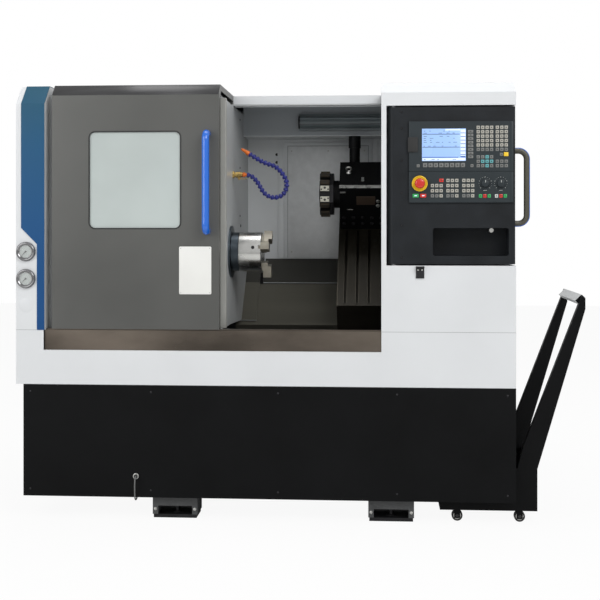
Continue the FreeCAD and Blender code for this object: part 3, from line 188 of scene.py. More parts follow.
FLOOR_LIFT = 0.93        # how far the camera sees the floor lifted towards white
floor_material, tree, shader = new_material("pale_floor")
shader.inputs["Base Color"].default_value = (0.86, 0.86, 0.85, 1)
shader.inputs["Roughness"].default_value = 0.8
seen = add_node(tree, "Math")
seen.operation = "MULTIPLY"
seen.inputs[1].default_value = FLOOR_LIFT
mix = add_node(tree, "MixShader")
wire(tree, (add_node(tree, "LightPath"), "Is Camera Ray", seen, 0), (seen, 0, mix, "Fac"),
     (shader, "BSDF", mix, 1), (add_node(tree, "Emission"), "Emission", mix, 2),
     (mix, "Shader", tree.nodes["Material Output"], "Surface"))
floor_mesh.materials.append(floor_material)

WORLD_FILL, WORLD_GLOSS = 0.42, 0.70
world = bpy.data.worlds.new("studio")
world.use_nodes = True
bpy.context.scene.world = world
tree = world.node_tree
background = tree.nodes["Background"]
background.inputs["Color"].default_value = (1, 1, 1, 1)
light_path = add_node(tree, "LightPath")
direct, gloss, shown = (add_node(tree, kind) for kind in ("Math", "Mix", "Mix"))
direct.operation = "MAXIMUM"
gloss.inputs["A"].default_value, gloss.inputs["B"].default_value = WORLD_FILL, WORLD_GLOSS
shown.inputs["B"].default_value = 1.0
wire(tree, (light_path, "Is Camera Ray", direct, 0), (light_path, "Is Transmission Ray", direct, 1),
     (light_path, "Is Glossy Ray", gloss, "Factor"), (direct, 0, shown, "Factor"),
     (gloss, "Result", shown, "A"), (shown, "Result", background, "Strength"))
bpy.context.scene.view_settings.view_transform = "Standard"
print("world fill", WORLD_FILL)

# %% Lamps


def soft_lamp(name, place, target, size, watts):
    """A square area lamp that looks at a point."""
    data = bpy.data.lights.new(name, "AREA")
    data.shape = "SQUARE"
    data.size = size
    data.energy = watts
    lamp = place_in_scene(name, data)
    lamp.location = place
    lamp.rotation_euler = (Vector(target) - Vector(place)).to_track_quat("-Z", "Y").to_euler()


soft_lamp("key_lamp", (2.6, -4.6, 4.2), (0, 0, 0.9), 3.0, 150)
soft_lamp("fill_lamp", (-3.6, -4.2, 2.6), (0, 0, 0.9), 3.0, 85)
soft_lamp("top_lamp", (0, 0.4, 5.2), (0, 0, 0), 3.4, 90)
print("three soft lamps")

# %% [markdown]
# ## Finishes
#
# Every surface uses one recipe: a broad noise lets colour and gloss drift a little, as paint and
# metal do, and a fine noise drives a bump for the grain. Stretching the noise along one axis turns
# grain into brush marks. The textures are read in the object's own coordinates, so they stay on a
# piece when it moves.

# %% The recipe for a finish


def finish(name, colour, roughness, metallic=0.0, drift=0.08, drift_scale=4.0, grain=0.1,
           grain_scale=700.0, grain_depth=0.0003, stretch=(1, 1, 1), gloss_drift=0.08, coat=0.0,
           sheen_level=0.5):
    """A procedural material: a drifting colour and gloss, and a fine bump."""
    material, tree, shader = new_material(name)
    material.diffuse_color = (*colour, 1)
    shader.inputs["Metallic"].default_value = metallic
    shader.inputs["Coat Weight"].default_value = coat
    shader.inputs["Specular IOR Level"].default_value = sheen_level
    place = add_node(tree, "TexCoord")
    mapping = add_node(tree, "Mapping", Scale=stretch)
    broad = add_node(tree, "TexNoise", Scale=drift_scale, Detail=5)
    ramp = add_node(tree, "ValToRGB")
    for stop, position, change in zip(ramp.color_ramp.elements, (0.3, 0.7), (1 - drift, 1 + drift)):
        stop.position, stop.color = position, (*[min(1, c * change) for c in colour], 1)
    sheen = add_node(tree, "MapRange", From_Min=0.3, From_Max=0.7,
                     To_Min=max(0.02, roughness - gloss_drift),
                     To_Max=min(1, roughness + gloss_drift))
    fine = add_node(tree, "TexNoise", Scale=grain_scale, Detail=2)
    bump = add_node(tree, "Bump", Strength=grain, Distance=grain_depth)
    wire(tree, (place, "Object", mapping, "Vector"), (mapping, "Vector", broad, "Vector"),
         (broad, "Fac", ramp, "Fac"), (ramp, "Color", shader, "Base Color"),
         (broad, "Fac", sheen, "Value"), (sheen, "Result", shader, "Roughness"),
         (mapping, "Vector", fine, "Vector"), (fine, "Fac", bump, "Height"),
         (bump, "Normal", shader, "Normal"))
    return material


# %% [markdown]
# Powder coat has a fine orange-peel texture: white on the casing, coarse and nearly black on the
# base, warm grey with a metallic flake on the door. The splash strip is bare and brushed along the
# machine, so its grain is stretched in x.

# %% Paints and bare metals
white_coat = finish("white_powder_coat", (0.665, 0.68, 0.695), 0.42, drift=0.02, grain=0.25)
black_coat = finish("black_texture_coat", (0.0032, 0.0034, 0.0038), 0.48, drift=0.25, grain=0.7,
                    grain_scale=420, grain_depth=0.0006, sheen_level=0.10)
door_coat = finish("grey_flake_coat", (0.098, 0.099, 0.094), 0.36, metallic=0.4, drift=0.12,
                   drift_scale=1.4, grain=0.35, grain_scale=1100)
# Painted shade: a darker grey for the door's top bevel, which looks darker in the light.
door_bevel_shade_coat = finish("door_bevel_painted_shade", (0.050, 0.050, 0.052), 0.34, metallic=0.45, drift=0.12,
                    drift_scale=3, grain=0.3, grain_scale=1100)
pendant_coat = finish("control_box_coat", (0.0105, 0.0125, 0.015), 0.5, drift=0.3, drift_scale=9,
                      grain=0.7, grain_scale=420, grain_depth=0.0006, sheen_level=0.2)
wall_coat = finish("left_wall_coat", (0.45, 0.465, 0.47), 0.38, drift=0.07, drift_scale=2.2,
                   grain=0.2)
inner_coat = finish("light_grey_inner_coat", (0.66, 0.68, 0.69), 0.38, drift=0.05, drift_scale=2.2,
                    grain=0.2)
stile_coat = finish("opening_stile_coat", (0.35, 0.35, 0.33), 0.4, drift=0.06, drift_scale=3,
                    grain=0.2)
guard_steel = finish("dull_guard_steel", (0.18, 0.172, 0.140), 0.42, metallic=0.6, drift=0.22,
                     drift_scale=3.5, grain=0.25, stretch=(0.12, 1, 1), grain_scale=500)
# Painted shade: a darker copy of the guard steel for guard sheets that lie in shadow.
shadow_steel = finish("guard_steel_painted_shade", (0.075, 0.073, 0.064), 0.4, metallic=0.5, drift=0.15,
                      drift_scale=3.5, grain=0.25, stretch=(0.12, 1, 1), grain_scale=500)
brushed_steel = finish("brushed_splash_steel", (0.165, 0.139, 0.115), 0.33, metallic=0.95,
                       drift=0.55, drift_scale=3.4, grain=0.35, stretch=(0.45, 1, 1),
                       grain_scale=900)
slide_iron = finish("oiled_slide_iron", (0.020, 0.0175, 0.0125), 0.42, metallic=0.5, drift=0.3,
                    drift_scale=7, grain=0.3, grain_scale=500, sheen_level=0.3)
jaw_steel = finish("used_jaw_steel", (0.30, 0.28, 0.235), 0.34, metallic=0.9, drift=0.2,
                   drift_scale=30, grain=0.3, grain_scale=500)
clamp_brown = finish("dark_brown_clamp_steel", (0.050, 0.040, 0.028), 0.42, metallic=0.5, drift=0.2,
                     drift_scale=30, grain=0.2)
cast_iron = finish("painted_cast_iron", (0.06, 0.062, 0.064), 0.55, drift=0.2, drift_scale=12,
                   grain=0.8, grain_scale=180, grain_depth=0.0012)
ground_steel = finish("ground_steel", (0.62, 0.62, 0.60), 0.24, metallic=1.0, drift=0.08,
                      drift_scale=20, grain=0.15, stretch=(1, 0.2, 0.2), grain_scale=800)
black_oxide = finish("black_oxide_steel", (0.022, 0.022, 0.024), 0.36, metallic=0.6, drift=0.25,
                     drift_scale=14, grain=0.2)
zinc_steel = finish("zinc_plated_steel", (0.50, 0.50, 0.48), 0.3, metallic=0.95, drift=0.12,
                    drift_scale=30, grain=0.2)
brass = finish("machined_brass", (0.62, 0.44, 0.16), 0.26, metallic=1.0, drift=0.12,
               drift_scale=60, grain=0.15)
print("paints and metals ready")

# %% Plastics, rubber and glass
blue_gloss = finish("bright_blue_plastic", (0.006, 0.13, 0.62), 0.2, drift=0.06, grain=0.06,
                    coat=0.6)
hose_blue = finish("deep_blue_hose_plastic", (0.017, 0.022, 0.20), 0.34, drift=0.1, drift_scale=40,
                   grain=0.15)
hose_orange = finish("orange_nozzle_plastic", (0.75, 0.17, 0.02), 0.34, drift=0.08, drift_scale=40)
bezel_plastic = finish("slate_bezel_plastic", (0.018, 0.025, 0.029), 0.45, drift=0.1, grain=0.4,
                       grain_scale=900, sheen_level=0.3)
key_beige = finish("beige_key_rubber", (0.36, 0.35, 0.31), 0.55, drift=0.06, drift_scale=60)
key_dark = finish("grey_key_rubber", (0.15, 0.155, 0.15), 0.5, drift=0.08, drift_scale=60)
signal_red = finish("signal_red_plastic", (0.58, 0.022, 0.012), 0.26, drift=0.05, coat=0.4)
signal_yellow = finish("signal_yellow_plastic", (0.80, 0.52, 0.02), 0.36, drift=0.05)
signal_green = finish("signal_green_plastic", (0.02, 0.36, 0.09), 0.3, drift=0.05, coat=0.3)
black_rubber = finish("black_rubber", (0.014, 0.014, 0.014), 0.7, drift=0.15, grain=0.4,
                      grain_scale=300)
lead_grey = finish("grey_lead_skin", (0.125, 0.127, 0.125), 0.5, drift=0.08, drift_scale=40)
ivory = finish("ivory_clamp_coat", (0.55, 0.54, 0.46), 0.4, drift=0.08, drift_scale=30, grain=0.2)
dial_white = finish("dial_face_enamel", (0.50, 0.52, 0.50), 0.4, drift=0.02, grain=0.03)
dial_black = finish("dial_mark_ink", (0.02, 0.02, 0.02), 0.5, drift=0.1)
cyan_mark = finish("cyan_key_rubber", (0.10, 0.34, 0.36), 0.45, drift=0.05)
lamp_cover = finish("slate_lamp_cover", (0.13, 0.16, 0.17), 0.32, drift=0.08, coat=0.2)
print("plastics ready")

# %% [markdown]
# The corner panel's colour changes with height, teal under the roof and deep blue further down.
# The height in the piece's own coordinates picks the colour from a ramp, and a share of the usual
# recipe's drifting colour is mixed in.

# %% Blue panel's colour by height
BLEND_LOW, BLEND_HIGH, DRIFT_SHARE = mm(780), mm(1776), 0.12
blue_coat = finish("blended_blue_coat", (0.03, 0.16, 0.36), 0.36, drift=0.08, grain=0.12,
                   sheen_level=0.2)


def blend_by_height(material, low, high, stops):
    """Gives a finish a colour ramp over the height, with a share of its own drift mixed in."""
    tree = material.node_tree
    shader = tree.nodes["Principled BSDF"]
    drift = shader.inputs["Base Color"].links[0].from_socket
    split = add_node(tree, "SeparateXYZ")
    height = add_node(tree, "MapRange", From_Min=low, From_Max=high)
    ramp = add_node(tree, "ValToRGB")
    elements = ramp.color_ramp.elements
    for where, _ in stops[2:]:
        elements.new(where)
    for element, (where, colour) in zip(elements, stops):
        element.position, element.color = where, (*colour, 1)
    mix = add_node(tree, "Mix")
    mix.data_type = "RGBA"
    mix.inputs["Factor"].default_value = DRIFT_SHARE
    wire(tree, (add_node(tree, "TexCoord"), "Object", split, "Vector"),
         (split, "Z", height, "Value"), (height, "Result", ramp, "Fac"), (ramp, "Color", mix, "A"),
         (mix, "Result", shader, "Base Color"))
    tree.links.new(drift, mix.inputs["B"])


blend_by_height(blue_coat, BLEND_LOW, BLEND_HIGH,
                [(0.0, (0.0055, 0.050, 0.175)), (0.35, (0.0075, 0.060, 0.185)),
                 (0.75, (0.011, 0.070, 0.150)), (1.0, (0.014, 0.072, 0.105))])

# %% [markdown]
# Turned steel shows fine rings round the axis that it was turned on. A wave texture in ring mode
# gives them: it is centred on the spindle's axis, and its rings feed the bump.

# %% Turned steel round the spindle
SPINDLE_AXIS = spot(0, SPINDLE_Y, SPINDLE_Z)


def turned(name, colour, roughness, rings=900):
    """A metal with turning marks round the spindle's axis."""
    material = finish(name, colour, roughness, metallic=1.0, drift=0.10, drift_scale=18, grain=0.1)
    tree = material.node_tree
    mapping = add_node(tree, "Mapping", Location=(0, -SPINDLE_AXIS[1], -SPINDLE_AXIS[2]))
    wave = add_node(tree, "TexWave", Scale=rings, Distortion=1.5)
    wave.wave_type, wave.rings_direction = "RINGS", "X"
    grain = next(n for n in tree.nodes if n.type == "BUMP")
    marks = add_node(tree, "Bump", Strength=0.12, Distance=0.0003)
    wire(tree, (add_node(tree, "TexCoord"), "Object", mapping, "Vector"),
         (mapping, "Vector", wave, "Vector"), (wave, "Fac", marks, "Height"),
         (grain, "Normal", marks, "Normal"),
         (marks, "Normal", tree.nodes["Principled BSDF"], "Normal"))
    return material


chuck_steel = turned("turned_chuck_steel", (0.60, 0.60, 0.58), 0.25)
flange_steel = turned("blued_flange_steel", (0.10, 0.12, 0.14), 0.34)

# %% [markdown]
# The door's pane is a milky plastic, so clear glass is mixed with a pale skin. The display gives
# off a little light of its own.

# %% Pane and display


def milky_pane(name, tint, milk):
    """See-through plastic with a pale film over it."""
    material = finish(name, tint, 0.12, drift=0.05, drift_scale=3, grain=0.02)
    tree = material.node_tree
    mix = add_node(tree, "MixShader", Fac=milk)
    wire(tree, (add_node(tree, "BsdfTransparent", Color=(*tint, 1)), "BSDF", mix, 1),
         (tree.nodes["Principled BSDF"], "BSDF", mix, 2),
         (mix, "Shader", tree.nodes["Material Output"], "Surface"))
    return material


pane = milky_pane("milky_pane", (0.53, 0.585, 0.57), 0.86)
gauge_glass = milky_pane("gauge_glass", (0.95, 0.96, 0.96), 0.10)


def lit(name, colour, strength):
    """A display colour that gives off a little light of its own."""
    material = finish(name, colour, 0.25, drift=0.03, drift_scale=8, grain=0.02)
    shader = material.node_tree.nodes["Principled BSDF"]
    shader.inputs["Emission Color"].default_value = (*colour, 1)
    shader.inputs["Emission Strength"].default_value = strength
    return material


display_blue = lit("display_pale_blue", (0.27, 0.42, 0.74), 0.42)
display_white = lit("display_white", (0.62, 0.72, 0.88), 0.36)
display_deep = lit("display_deep_blue", (0.03, 0.09, 0.36), 0.25)
display_grey = lit("display_grey", (0.10, 0.15, 0.27), 0.15)
print("pane and display ready")

# %% [markdown]
# ## Dressing the solids
#
# Each solid keeps its shape and takes a finish. Real sheet metal and castings have no perfectly
# sharp edges, so a narrow bevel goes on the solids whose edges catch the light, at the end of this
# script. It is a modifier, which leaves the solid itself as it is.

# %% Finishes for the solids
NODE_FINISH = (
    (black_coat, "base_skirt turret_housing coolant_tank tank_handle"),
    (cast_iron, "bed_casting spindle_pulley motor_pulley spindle_motor"),
    (black_oxide, "levelling_feet gauge_case_1 gauge_case_2 turret_disc pendant_bracket"),
    (white_coat, "front_band left_cover roof right_column rear_cabinet cabinet_door"),
    (brushed_steel, "splash_apron"),
    (blue_coat, "blue_panel"),
    (wall_coat, "inner_panel left_wall"),
    (inner_coat, "back_wall"),
    (lamp_cover, "work_lamp"),
    (dial_black, "gauge_needle_1 gauge_needle_2"),
    (door_coat, "door_panel"),
    (pane, "door_window"),
    (black_rubber, "window_seal drive_belt wheel_set_1 wheel_set_2"),
    (blue_gloss, "door_handle panel_handle"),
    (lead_grey, "earth_lead"),
    (flange_steel, "headstock spindle"),
    (ground_steel, "spindle_bearings"),
    (chuck_steel, "chuck_body"),
    (jaw_steel, "jaw_1 jaw_2 jaw_3"),
    (zinc_steel, "chuck_cylinder"),
    (slide_iron, "saddle cross_slide"),
    (guard_steel, "way_cover"),
    (ivory, "tool_clamps"),
    (brass, "coolant_valve valve_lever"),
    (hose_blue, "coolant_hose"),
    (pendant_coat, "pendant_box"),
    (bezel_plastic, "operator_panel feed_dial speed_dial"),
    (display_blue, "screen"),
    (key_beige, "keypad"),
    (signal_red, "stop_button reset_button"),
    (signal_green, "start_button"),
)


def soften_edges(obj, width, segments=2, angle=35):
    """A narrow bevel on the edges that turn more than an angle."""
    bevel = obj.modifiers.new("soft_edges", "BEVEL")
    bevel.width = width
    bevel.segments = segments
    bevel.limit_method = "ANGLE"
    bevel.angle_limit = math.radians(angle)
    bevel.harden_normals = False


earth_lead.data.materials.append(lead_grey)
dressed = set()
for material, names in NODE_FINISH:
    for node_name in names.split():
        NODES[node_name].data.materials.clear()
        NODES[node_name].data.materials.append(material)
        dressed.add(node_name)
print("finished solids:", len(dressed), "without one:", sorted(set(NODES) - dressed))

# %% [markdown]
# ## Small shapes made in mesh code
#
# Keys, plates and covers are all flat slabs with rounded corners and an eased front edge. One
# function adds such a slab to a mesh, so that a whole keypad is a single piece. Turned forms and
# blocks get functions of their own in the same way. All lengths here are in millimetres.

# %% Slabs, discs and tubes
TOWARDS_OPERATOR, TOWARDS_BACK, TO_THE_RIGHT, UPWARDS = (0, -1, 0), (0, 1, 0), (1, 0, 0), (0, 0, 1)
BUTTON_HEAD = [(-0.2, 4.2), (0.8, 4.0), (1.9, 2.6), (2.0, 1.5), (1.3, 1.3), (1.3, 0.3)]
BLOCK_FACES = ((3, 2, 1, 0), (4, 5, 6, 7), (0, 1, 5, 4), (1, 2, 6, 5), (2, 3, 7, 6), (3, 0, 4, 7))


def round_ways(count):
    """Cosine and sine of angles that divide a full turn evenly."""
    angles = [2 * math.pi * i / count for i in range(count)]
    return [(math.cos(a), math.sin(a)) for a in angles]


def rounded_ring(x0, x1, z0, z1, radius, steps=3):
    """Corner points of a rounded rectangle, seen from the front, counter-clockwise."""
    points = []
    for cx, cz, turn in ((x1 - radius, z0 + radius, -90), (x1 - radius, z1 - radius, 0),
                         (x0 + radius, z1 - radius, 90), (x0 + radius, z0 + radius, 180)):
        for i in range(steps + 1):
            angle = math.radians(turn + 90 * i / steps)
            points.append((cx + radius * math.cos(angle), cz + radius * math.sin(angle)))
    return points


def bridge_rings(bm, rings, paint, closed_ends=(True, True)):
    """Skins a list of equal rings of vertices, first to last."""
    count = len(rings[0])
    for a, b in zip(rings, rings[1:]):
        for i in range(count):
            j = (i + 1) % count
            bm.faces.new((a[i], a[j], b[j], b[i])).material_index = paint
    if closed_ends[0]:
        bm.faces.new(list(reversed(rings[0]))).material_index = paint
    if closed_ends[1]:
        bm.faces.new(rings[-1]).material_index = paint


def add_slab(bm, x0, x1, z0, z1, front, back, radius, ease, paint=0):
    """A rounded slab between two depths, with its front edge eased."""
    rings = []
    for y, inset in ((back, 0), (front + ease, 0), (front + ease * 0.3, ease * 0.3), (front, ease)):
        ring = rounded_ring(x0 + inset, x1 - inset, z0 + inset, z1 - inset,
                            max(radius - inset, 0.2))
        rings.append([bm.verts.new(spot(x, y, z)) for x, z in ring])
    bridge_rings(bm, rings, paint)


def add_pad(bm, x, z, wide, tall, front, back, radius, ease, paint=0):
    """A slab given by its middle and its half width and height."""
    add_slab(bm, x - wide, x + wide, z - tall, z + tall, front, back, radius, ease, paint)


def add_turned(bm, centre, axis, profile, paint=0, segments=32):
    """A turned form: (distance along the axis, radius) pairs round an axis through a point."""
    axis = Vector(axis).normalized()
    side = axis.orthogonal().normalized()
    other = axis.cross(side)
    rings = []
    for along, radius in profile:
        middle = Vector(centre) + axis * along
        rings.append([bm.verts.new(spot(*(middle + (side * c + other * s) * radius)))
                      for c, s in round_ways(segments)])
    bridge_rings(bm, rings, paint)


def add_box(bm, low, high, paint=0, place=lambda *lengths: lengths):
    """A plain block between two corners; place turns three lengths into a point."""
    (x0, y0, z0), (x1, y1, z1) = low, high
    corners = [bm.verts.new(spot(*place(x, y, z))) for z in (z0, z1)
               for x, y in ((x0, y0), (x1, y0), (x1, y1), (x0, y1))]
    for quad in BLOCK_FACES:
        bm.faces.new([corners[i] for i in quad]).material_index = paint


def finish_piece(name, bm, paints, body, smooth_angle=35):
    """Turns the built mesh into a piece that rides on a body."""
    bmesh.ops.recalc_face_normals(bm, faces=bm.faces)
    mesh = bpy.data.meshes.new(name)
    bm.to_mesh(mesh)
    bm.free()
    for paint in paints:
        mesh.materials.append(paint)
    for polygon in mesh.polygons:
        polygon.use_smooth = True
    mesh.set_sharp_from_angle(angle=math.radians(smooth_angle))
    piece = bpy.data.objects.new(name, mesh)
    bpy.context.scene.collection.objects.link(piece)
    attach(piece, body)
    print(name, "faces:", len(mesh.polygons))
    return piece


# %% [markdown]
# ## Operator panel
#
# The control has rubber keys in blocks, nearly all with a short dark bar as a mark. They are one
# piece, painted by block: beige keys with a darker last row, cyan arrows and a few signal colours.
# The piece replaces the plain blocks of the solid keypad.

# %% Keypad
PANEL_FACE = -3.0           # front of the control's bezels
KEY_SIZE, KEY_RISE, KEY_PITCH = 13.4, 2.0, 17.6
BEIGE, GREY, YELLOW, CYAN, RED, GREEN, WHITE, MARK = range(8)
key_paints = [key_beige, key_dark, signal_yellow, cyan_mark, signal_red, signal_green, dial_white,
              dial_black]


def add_key(bm, x, z, paint, width=KEY_SIZE, height=KEY_SIZE, mark=True):
    """One key with its lower left corner at x, z, and the short bar of its mark."""
    face = PANEL_FACE - KEY_RISE
    add_slab(bm, x, x + width, z, z + height, face, PANEL_FACE, 1.6, 0.7, paint)
    if mark:
        add_pad(bm, x + width / 2, z + height / 2, width * 0.17, height * 0.15, face - 0.12,
                face + 0.2, 0.4, 0.05, MARK)


def add_key_block(bm, x, z, columns, rows, paint, special, pitch_x=KEY_PITCH, pitch_z=KEY_PITCH):
    """A grid of keys; special gives other paints by (column, row from below)."""
    for i in range(columns):
        for j in range(rows):
            add_key(bm, x + pitch_x * i, z + pitch_z * j, special.get((i, j), paint))


bm = bmesh.new()
letter_rows = {(i, 0): GREY for i in range(4)}
ARROWS = {place: CYAN for place in ((2, 0), (1, 1), (2, 1), (3, 1), (2, 2))}
add_key_block(bm, 1876, 1496, 4, 6, BEIGE, letter_rows)
add_key_block(bm, 1951.5, 1496, 3, 6, BEIGE, letter_rows)
add_key(bm, 1968, 1477, GREY, 12, 12)
add_key(bm, 1984, 1475.5, YELLOW, 18, 16, mark=False)
add_key_block(bm, 1876, 1431, 4, 3, GREY, ARROWS)
add_key_block(bm, 1951.5, 1431, 3, 2, GREY, {})
for i in range(8):
    add_key(bm, 1663 + 21.4 * i, 1432, GREY, 17.5, 17)            # soft keys under the display
    add_key(bm, 1842, 1468 + 14.5 * i, GREY, 21, 11)              # and beside it
for x in (1638, 1852):
    add_key(bm, x, 1432, GREY, 12, 12)
MACHINE_PITCH_X, MACHINE_PITCH_Z = 17.4, 20.5
for x, rows in ((1694, 3), (1756, 4), (1819, 4)):
    add_key_block(bm, x, 1311, 3, rows, BEIGE, {(0, 0): GREY, (1, 0): GREY}, MACHINE_PITCH_X,
                  MACHINE_PITCH_Z)
add_key(bm, 1728, 1373, RED, 17, 13.5)
for x, paints in ((1885, (GREEN, RED, GREEN)), (1948.5, (WHITE, RED, GREEN))):
    for i, paint in enumerate(paints):
        add_key(bm, x + MACHINE_PITCH_X * i, 1310, paint, 13, 14)
keys = finish_piece("keypad_keys", bm, key_paints, "pendant")
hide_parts("keypad")

# %% [markdown]
# The display shows plain fields and no words: a title bar, a pale work area with short lines, a
# column of soft-key labels and a status line. They are thin lit panels, a tenth of a millimetre
# apart.

# %% Display
SCREEN_LEFT, SCREEN_RIGHT, SCREEN_LOW, SCREEN_HIGH = 1659.5, 1833.5, 1457.5, 1586.5
LABEL_LEFT, FIELD_RIGHT, SCREEN_FACE = SCREEN_RIGHT - 21, SCREEN_RIGHT - 1.5, -2.5
FIELD_LEFT, TEXT_RIGHT, TEXT_HEIGHT = SCREEN_LEFT + 1.5, 1808, 2.0
random.seed(4)


def add_field(bm, x0, x1, z0, z1, layer, paint):
    """A thin lit panel on the screen, one of several layers."""
    add_slab(bm, x0, x1, z0, z1, SCREEN_FACE - 0.12 * layer, SCREEN_FACE + 0.1, 0.5, 0.03, paint)


PALE, BRIGHT, DEEP, DIM = range(4)
bm = bmesh.new()
for field in ((SCREEN_LEFT + 1, SCREEN_RIGHT - 1, SCREEN_LOW + 1, SCREEN_HIGH - 1, 1, PALE),
              (1752, SCREEN_RIGHT - 22, 1579, SCREEN_HIGH - 1.5, 2, BRIGHT),
              (LABEL_LEFT, FIELD_RIGHT, 1470, 1583, 2, BRIGHT),
              *((LABEL_LEFT, FIELD_RIGHT, 1481.5 + 14.4 * i, 1484 + 14.4 * i, 3, DEEP)
                for i in range(7)),
              (LABEL_LEFT, FIELD_RIGHT, 1471, 1477, 3, DEEP),
              (FIELD_LEFT, 1804, 1470.5, 1473.5, 2, DEEP),
              (FIELD_LEFT, FIELD_RIGHT, 1459, 1469, 2, BRIGHT),
              *((FIELD_LEFT, 1810, z, z + 3, 2, DIM) for z in (1511, 1563))):
    add_field(bm, *field)
for z in (1576, 1568, 1555, 1547, 1539, 1531, 1516, 1462):
    x = SCREEN_LEFT + 6
    while x < 1800:
        width = random.uniform(5, 15)
        if random.random() < 0.55:
            add_field(bm, x, min(x + width, TEXT_RIGHT), z, z + TEXT_HEIGHT, 3, DIM)
        x += width + random.uniform(9, 24)
finish_piece("display_fields", bm, [display_blue, display_white, display_deep, display_grey],
             "pendant")

# %% [markdown]
# The emergency stop sits on a broad yellow collar with a raised rim. The two override switches
# have knurled knobs with a skirt and a pale pointer line, inside a ring of short pale ticks. A
# knurl is a circle whose radius goes up and down, so the knob is made from such rings.

# %% Stop collar, override knobs and ticks
DIAL_HEIGHT, STOP_X = 1367.0, 1650.0
DIALS = {"feed_dial": 1910.0, "speed_dial": 1972.0}
TICKS, TICK_SWEEP, TICK_CIRCLE = 13, 270, 25.4

bm = bmesh.new()
add_turned(bm, (STOP_X, PANEL_FACE, DIAL_HEIGHT), TOWARDS_OPERATOR,
           [(0, 31.6), (6.4, 31.6), (8.0, 30.4), (8.4, 28.6), (7.2, 26.8), (6.6, 24), (6.6, 12)],
           segments=56)
finish_piece("stop_collar", bm, [signal_yellow], "pendant")

bm = bmesh.new()
add_turned(bm, (STOP_X, PANEL_FACE - 15.8, DIAL_HEIGHT), TOWARDS_OPERATOR,
           [(0, 14), (0.4, 19.6), (2.2, 20.6), (9, 20.6), (13.5, 19.8), (16.4, 17.2), (17.8, 13.0),
            (18.2, 7.0), (18.2, 0.6)], segments=56)
add_turned(bm, (STOP_X, PANEL_FACE + 1, DIAL_HEIGHT), TOWARDS_OPERATOR, [(0, 10.0), (17.5, 10.0)])
stop_head = finish_piece("stop_button_head", bm, [signal_red], "stop_button")
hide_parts("stop_button")


def add_knurled(bm, x, y, z, profile, ridges, depth):
    """A knob towards the operator whose middle rings carry ridges."""
    rings = []
    for along, radius, knurl in profile:
        ring = []
        for i, (c, s) in enumerate(round_ways(ridges * 4)):
            r = radius - depth * knurl * (0, 0.5, 1, 0.5)[i % 4]
            ring.append(bm.verts.new(spot(x + r * c, y - along, z + r * s)))
        rings.append(ring)
    bridge_rings(bm, rings, 0)


for node_name, x in DIALS.items():
    bm = bmesh.new()
    add_turned(bm, (x, PANEL_FACE + 3, DIAL_HEIGHT), TOWARDS_OPERATOR, [(0, 4), (6, 4)], 0, 24)
    add_turned(bm, (x, PANEL_FACE - 1.7, DIAL_HEIGHT), TOWARDS_OPERATOR,
               [(0, 19.4), (1.6, 19.4), (2.6, 17.2)], segments=48)
    add_knurled(bm, x, PANEL_FACE - 4, DIAL_HEIGHT,
                [(0, 17.2, 0), (1, 17.2, 1), (11, 15.4, 1), (12.6, 14.6, 0.5), (13.6, 13.0, 0)],
                24, 0.9)
    add_pad(bm, x, DIAL_HEIGHT + 8, 0.8, 5, PANEL_FACE - 17.9, PANEL_FACE - 17.4, 0.6, 0.1, 1)
    knob = finish_piece(f"{node_name}_knob", bm, [bezel_plastic, dial_white], node_name)
    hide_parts(node_name)

bm = bmesh.new()
for x in DIALS.values():
    for i in range(TICKS):
        angle = math.radians(90 + TICK_SWEEP / 2 - TICK_SWEEP * i / (TICKS - 1))
        size = 1.25 if i % 3 == 0 else 0.8
        add_pad(bm, x + TICK_CIRCLE * math.cos(angle), DIAL_HEIGHT + TICK_CIRCLE * math.sin(angle),
                size, size, PANEL_FACE - 1.65, PANEL_FACE - 1.2, 0.5, 0.05)
    add_pad(bm, x, DIAL_HEIGHT - 27.6, 7, 0.8, PANEL_FACE - 0.15, PANEL_FACE + 0.1, 0.5, 0.03)
finish_piece("dial_ticks", bm, [dial_white], "pendant")

# %% [markdown]
# The two push buttons are caps with eased edges and a pale lens strip. Around them the box carries
# the rest of the panel's hardware: a rubber flap over a data socket, lighter strips on the bezels'
# ends, a round socket at the top of the tray, and screws along the post.

# %% Buttons and panel hardware
for node_name, x, paint, plastic in (("start_button", 1622.0, signal_green, "green_plastic"),
                                     ("reset_button", 1652.0, signal_red, "red_plastic")):
    bm = bmesh.new()
    add_slab(bm, x, x + 24, 1311, 1326, PANEL_FACE - 4, PANEL_FACE + 2, 1.8, 0.9, 0)
    add_slab(bm, x + 7, x + 17, 1316.5, 1320.5, PANEL_FACE - 4.15, PANEL_FACE - 3.8, 0.8, 0.1, 1)
    cap = finish_piece(f"{node_name}_cap", bm, [paint, display_white], node_name)
    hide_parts(node_name)

bm = bmesh.new()
FLAP, LIGHT_STRIP, SOCKET, SCREW = range(4)
add_slab(bm, 1602.5, 1643, 1492.5, 1552.5, PANEL_FACE - 5, PANEL_FACE, 4, 1.4, FLAP)
add_slab(bm, 1607.5, 1638, 1495.5, 1499.0, PANEL_FACE - 6.2, PANEL_FACE - 4.8, 1.5, 0.4, FLAP)
for low, high in ((1417, 1615.5), (1291.5, 1414)):
    for x0, x1 in ((2008, 2021.5), (1607.5, 1611.5)):
        add_slab(bm, x0, x1, low, high, PANEL_FACE - 0.5, PANEL_FACE + 1, 1, 0.3, LIGHT_STRIP)
add_turned(bm, (1936, 6, 1180), TOWARDS_OPERATOR, [(-60, 9.5), (-6, 9.5), (-4.6, 8.6), (-4.6, 5.5),
                                                 (-7, 5.2)], SOCKET, 28)
for z in (1070, 1200, 1330, 1460, 1590, 1655):
    add_turned(bm, (1578, 6, z), TOWARDS_OPERATOR, [(-1, 4), (1.6, 4), (2.4, 3.2), (2.4, 1.8),
                                                    (1.2, 1.6)], SCREW, 20)
finish_piece("panel_hardware", bm, [black_rubber, bezel_plastic, zinc_steel, black_oxide],
             "pendant")

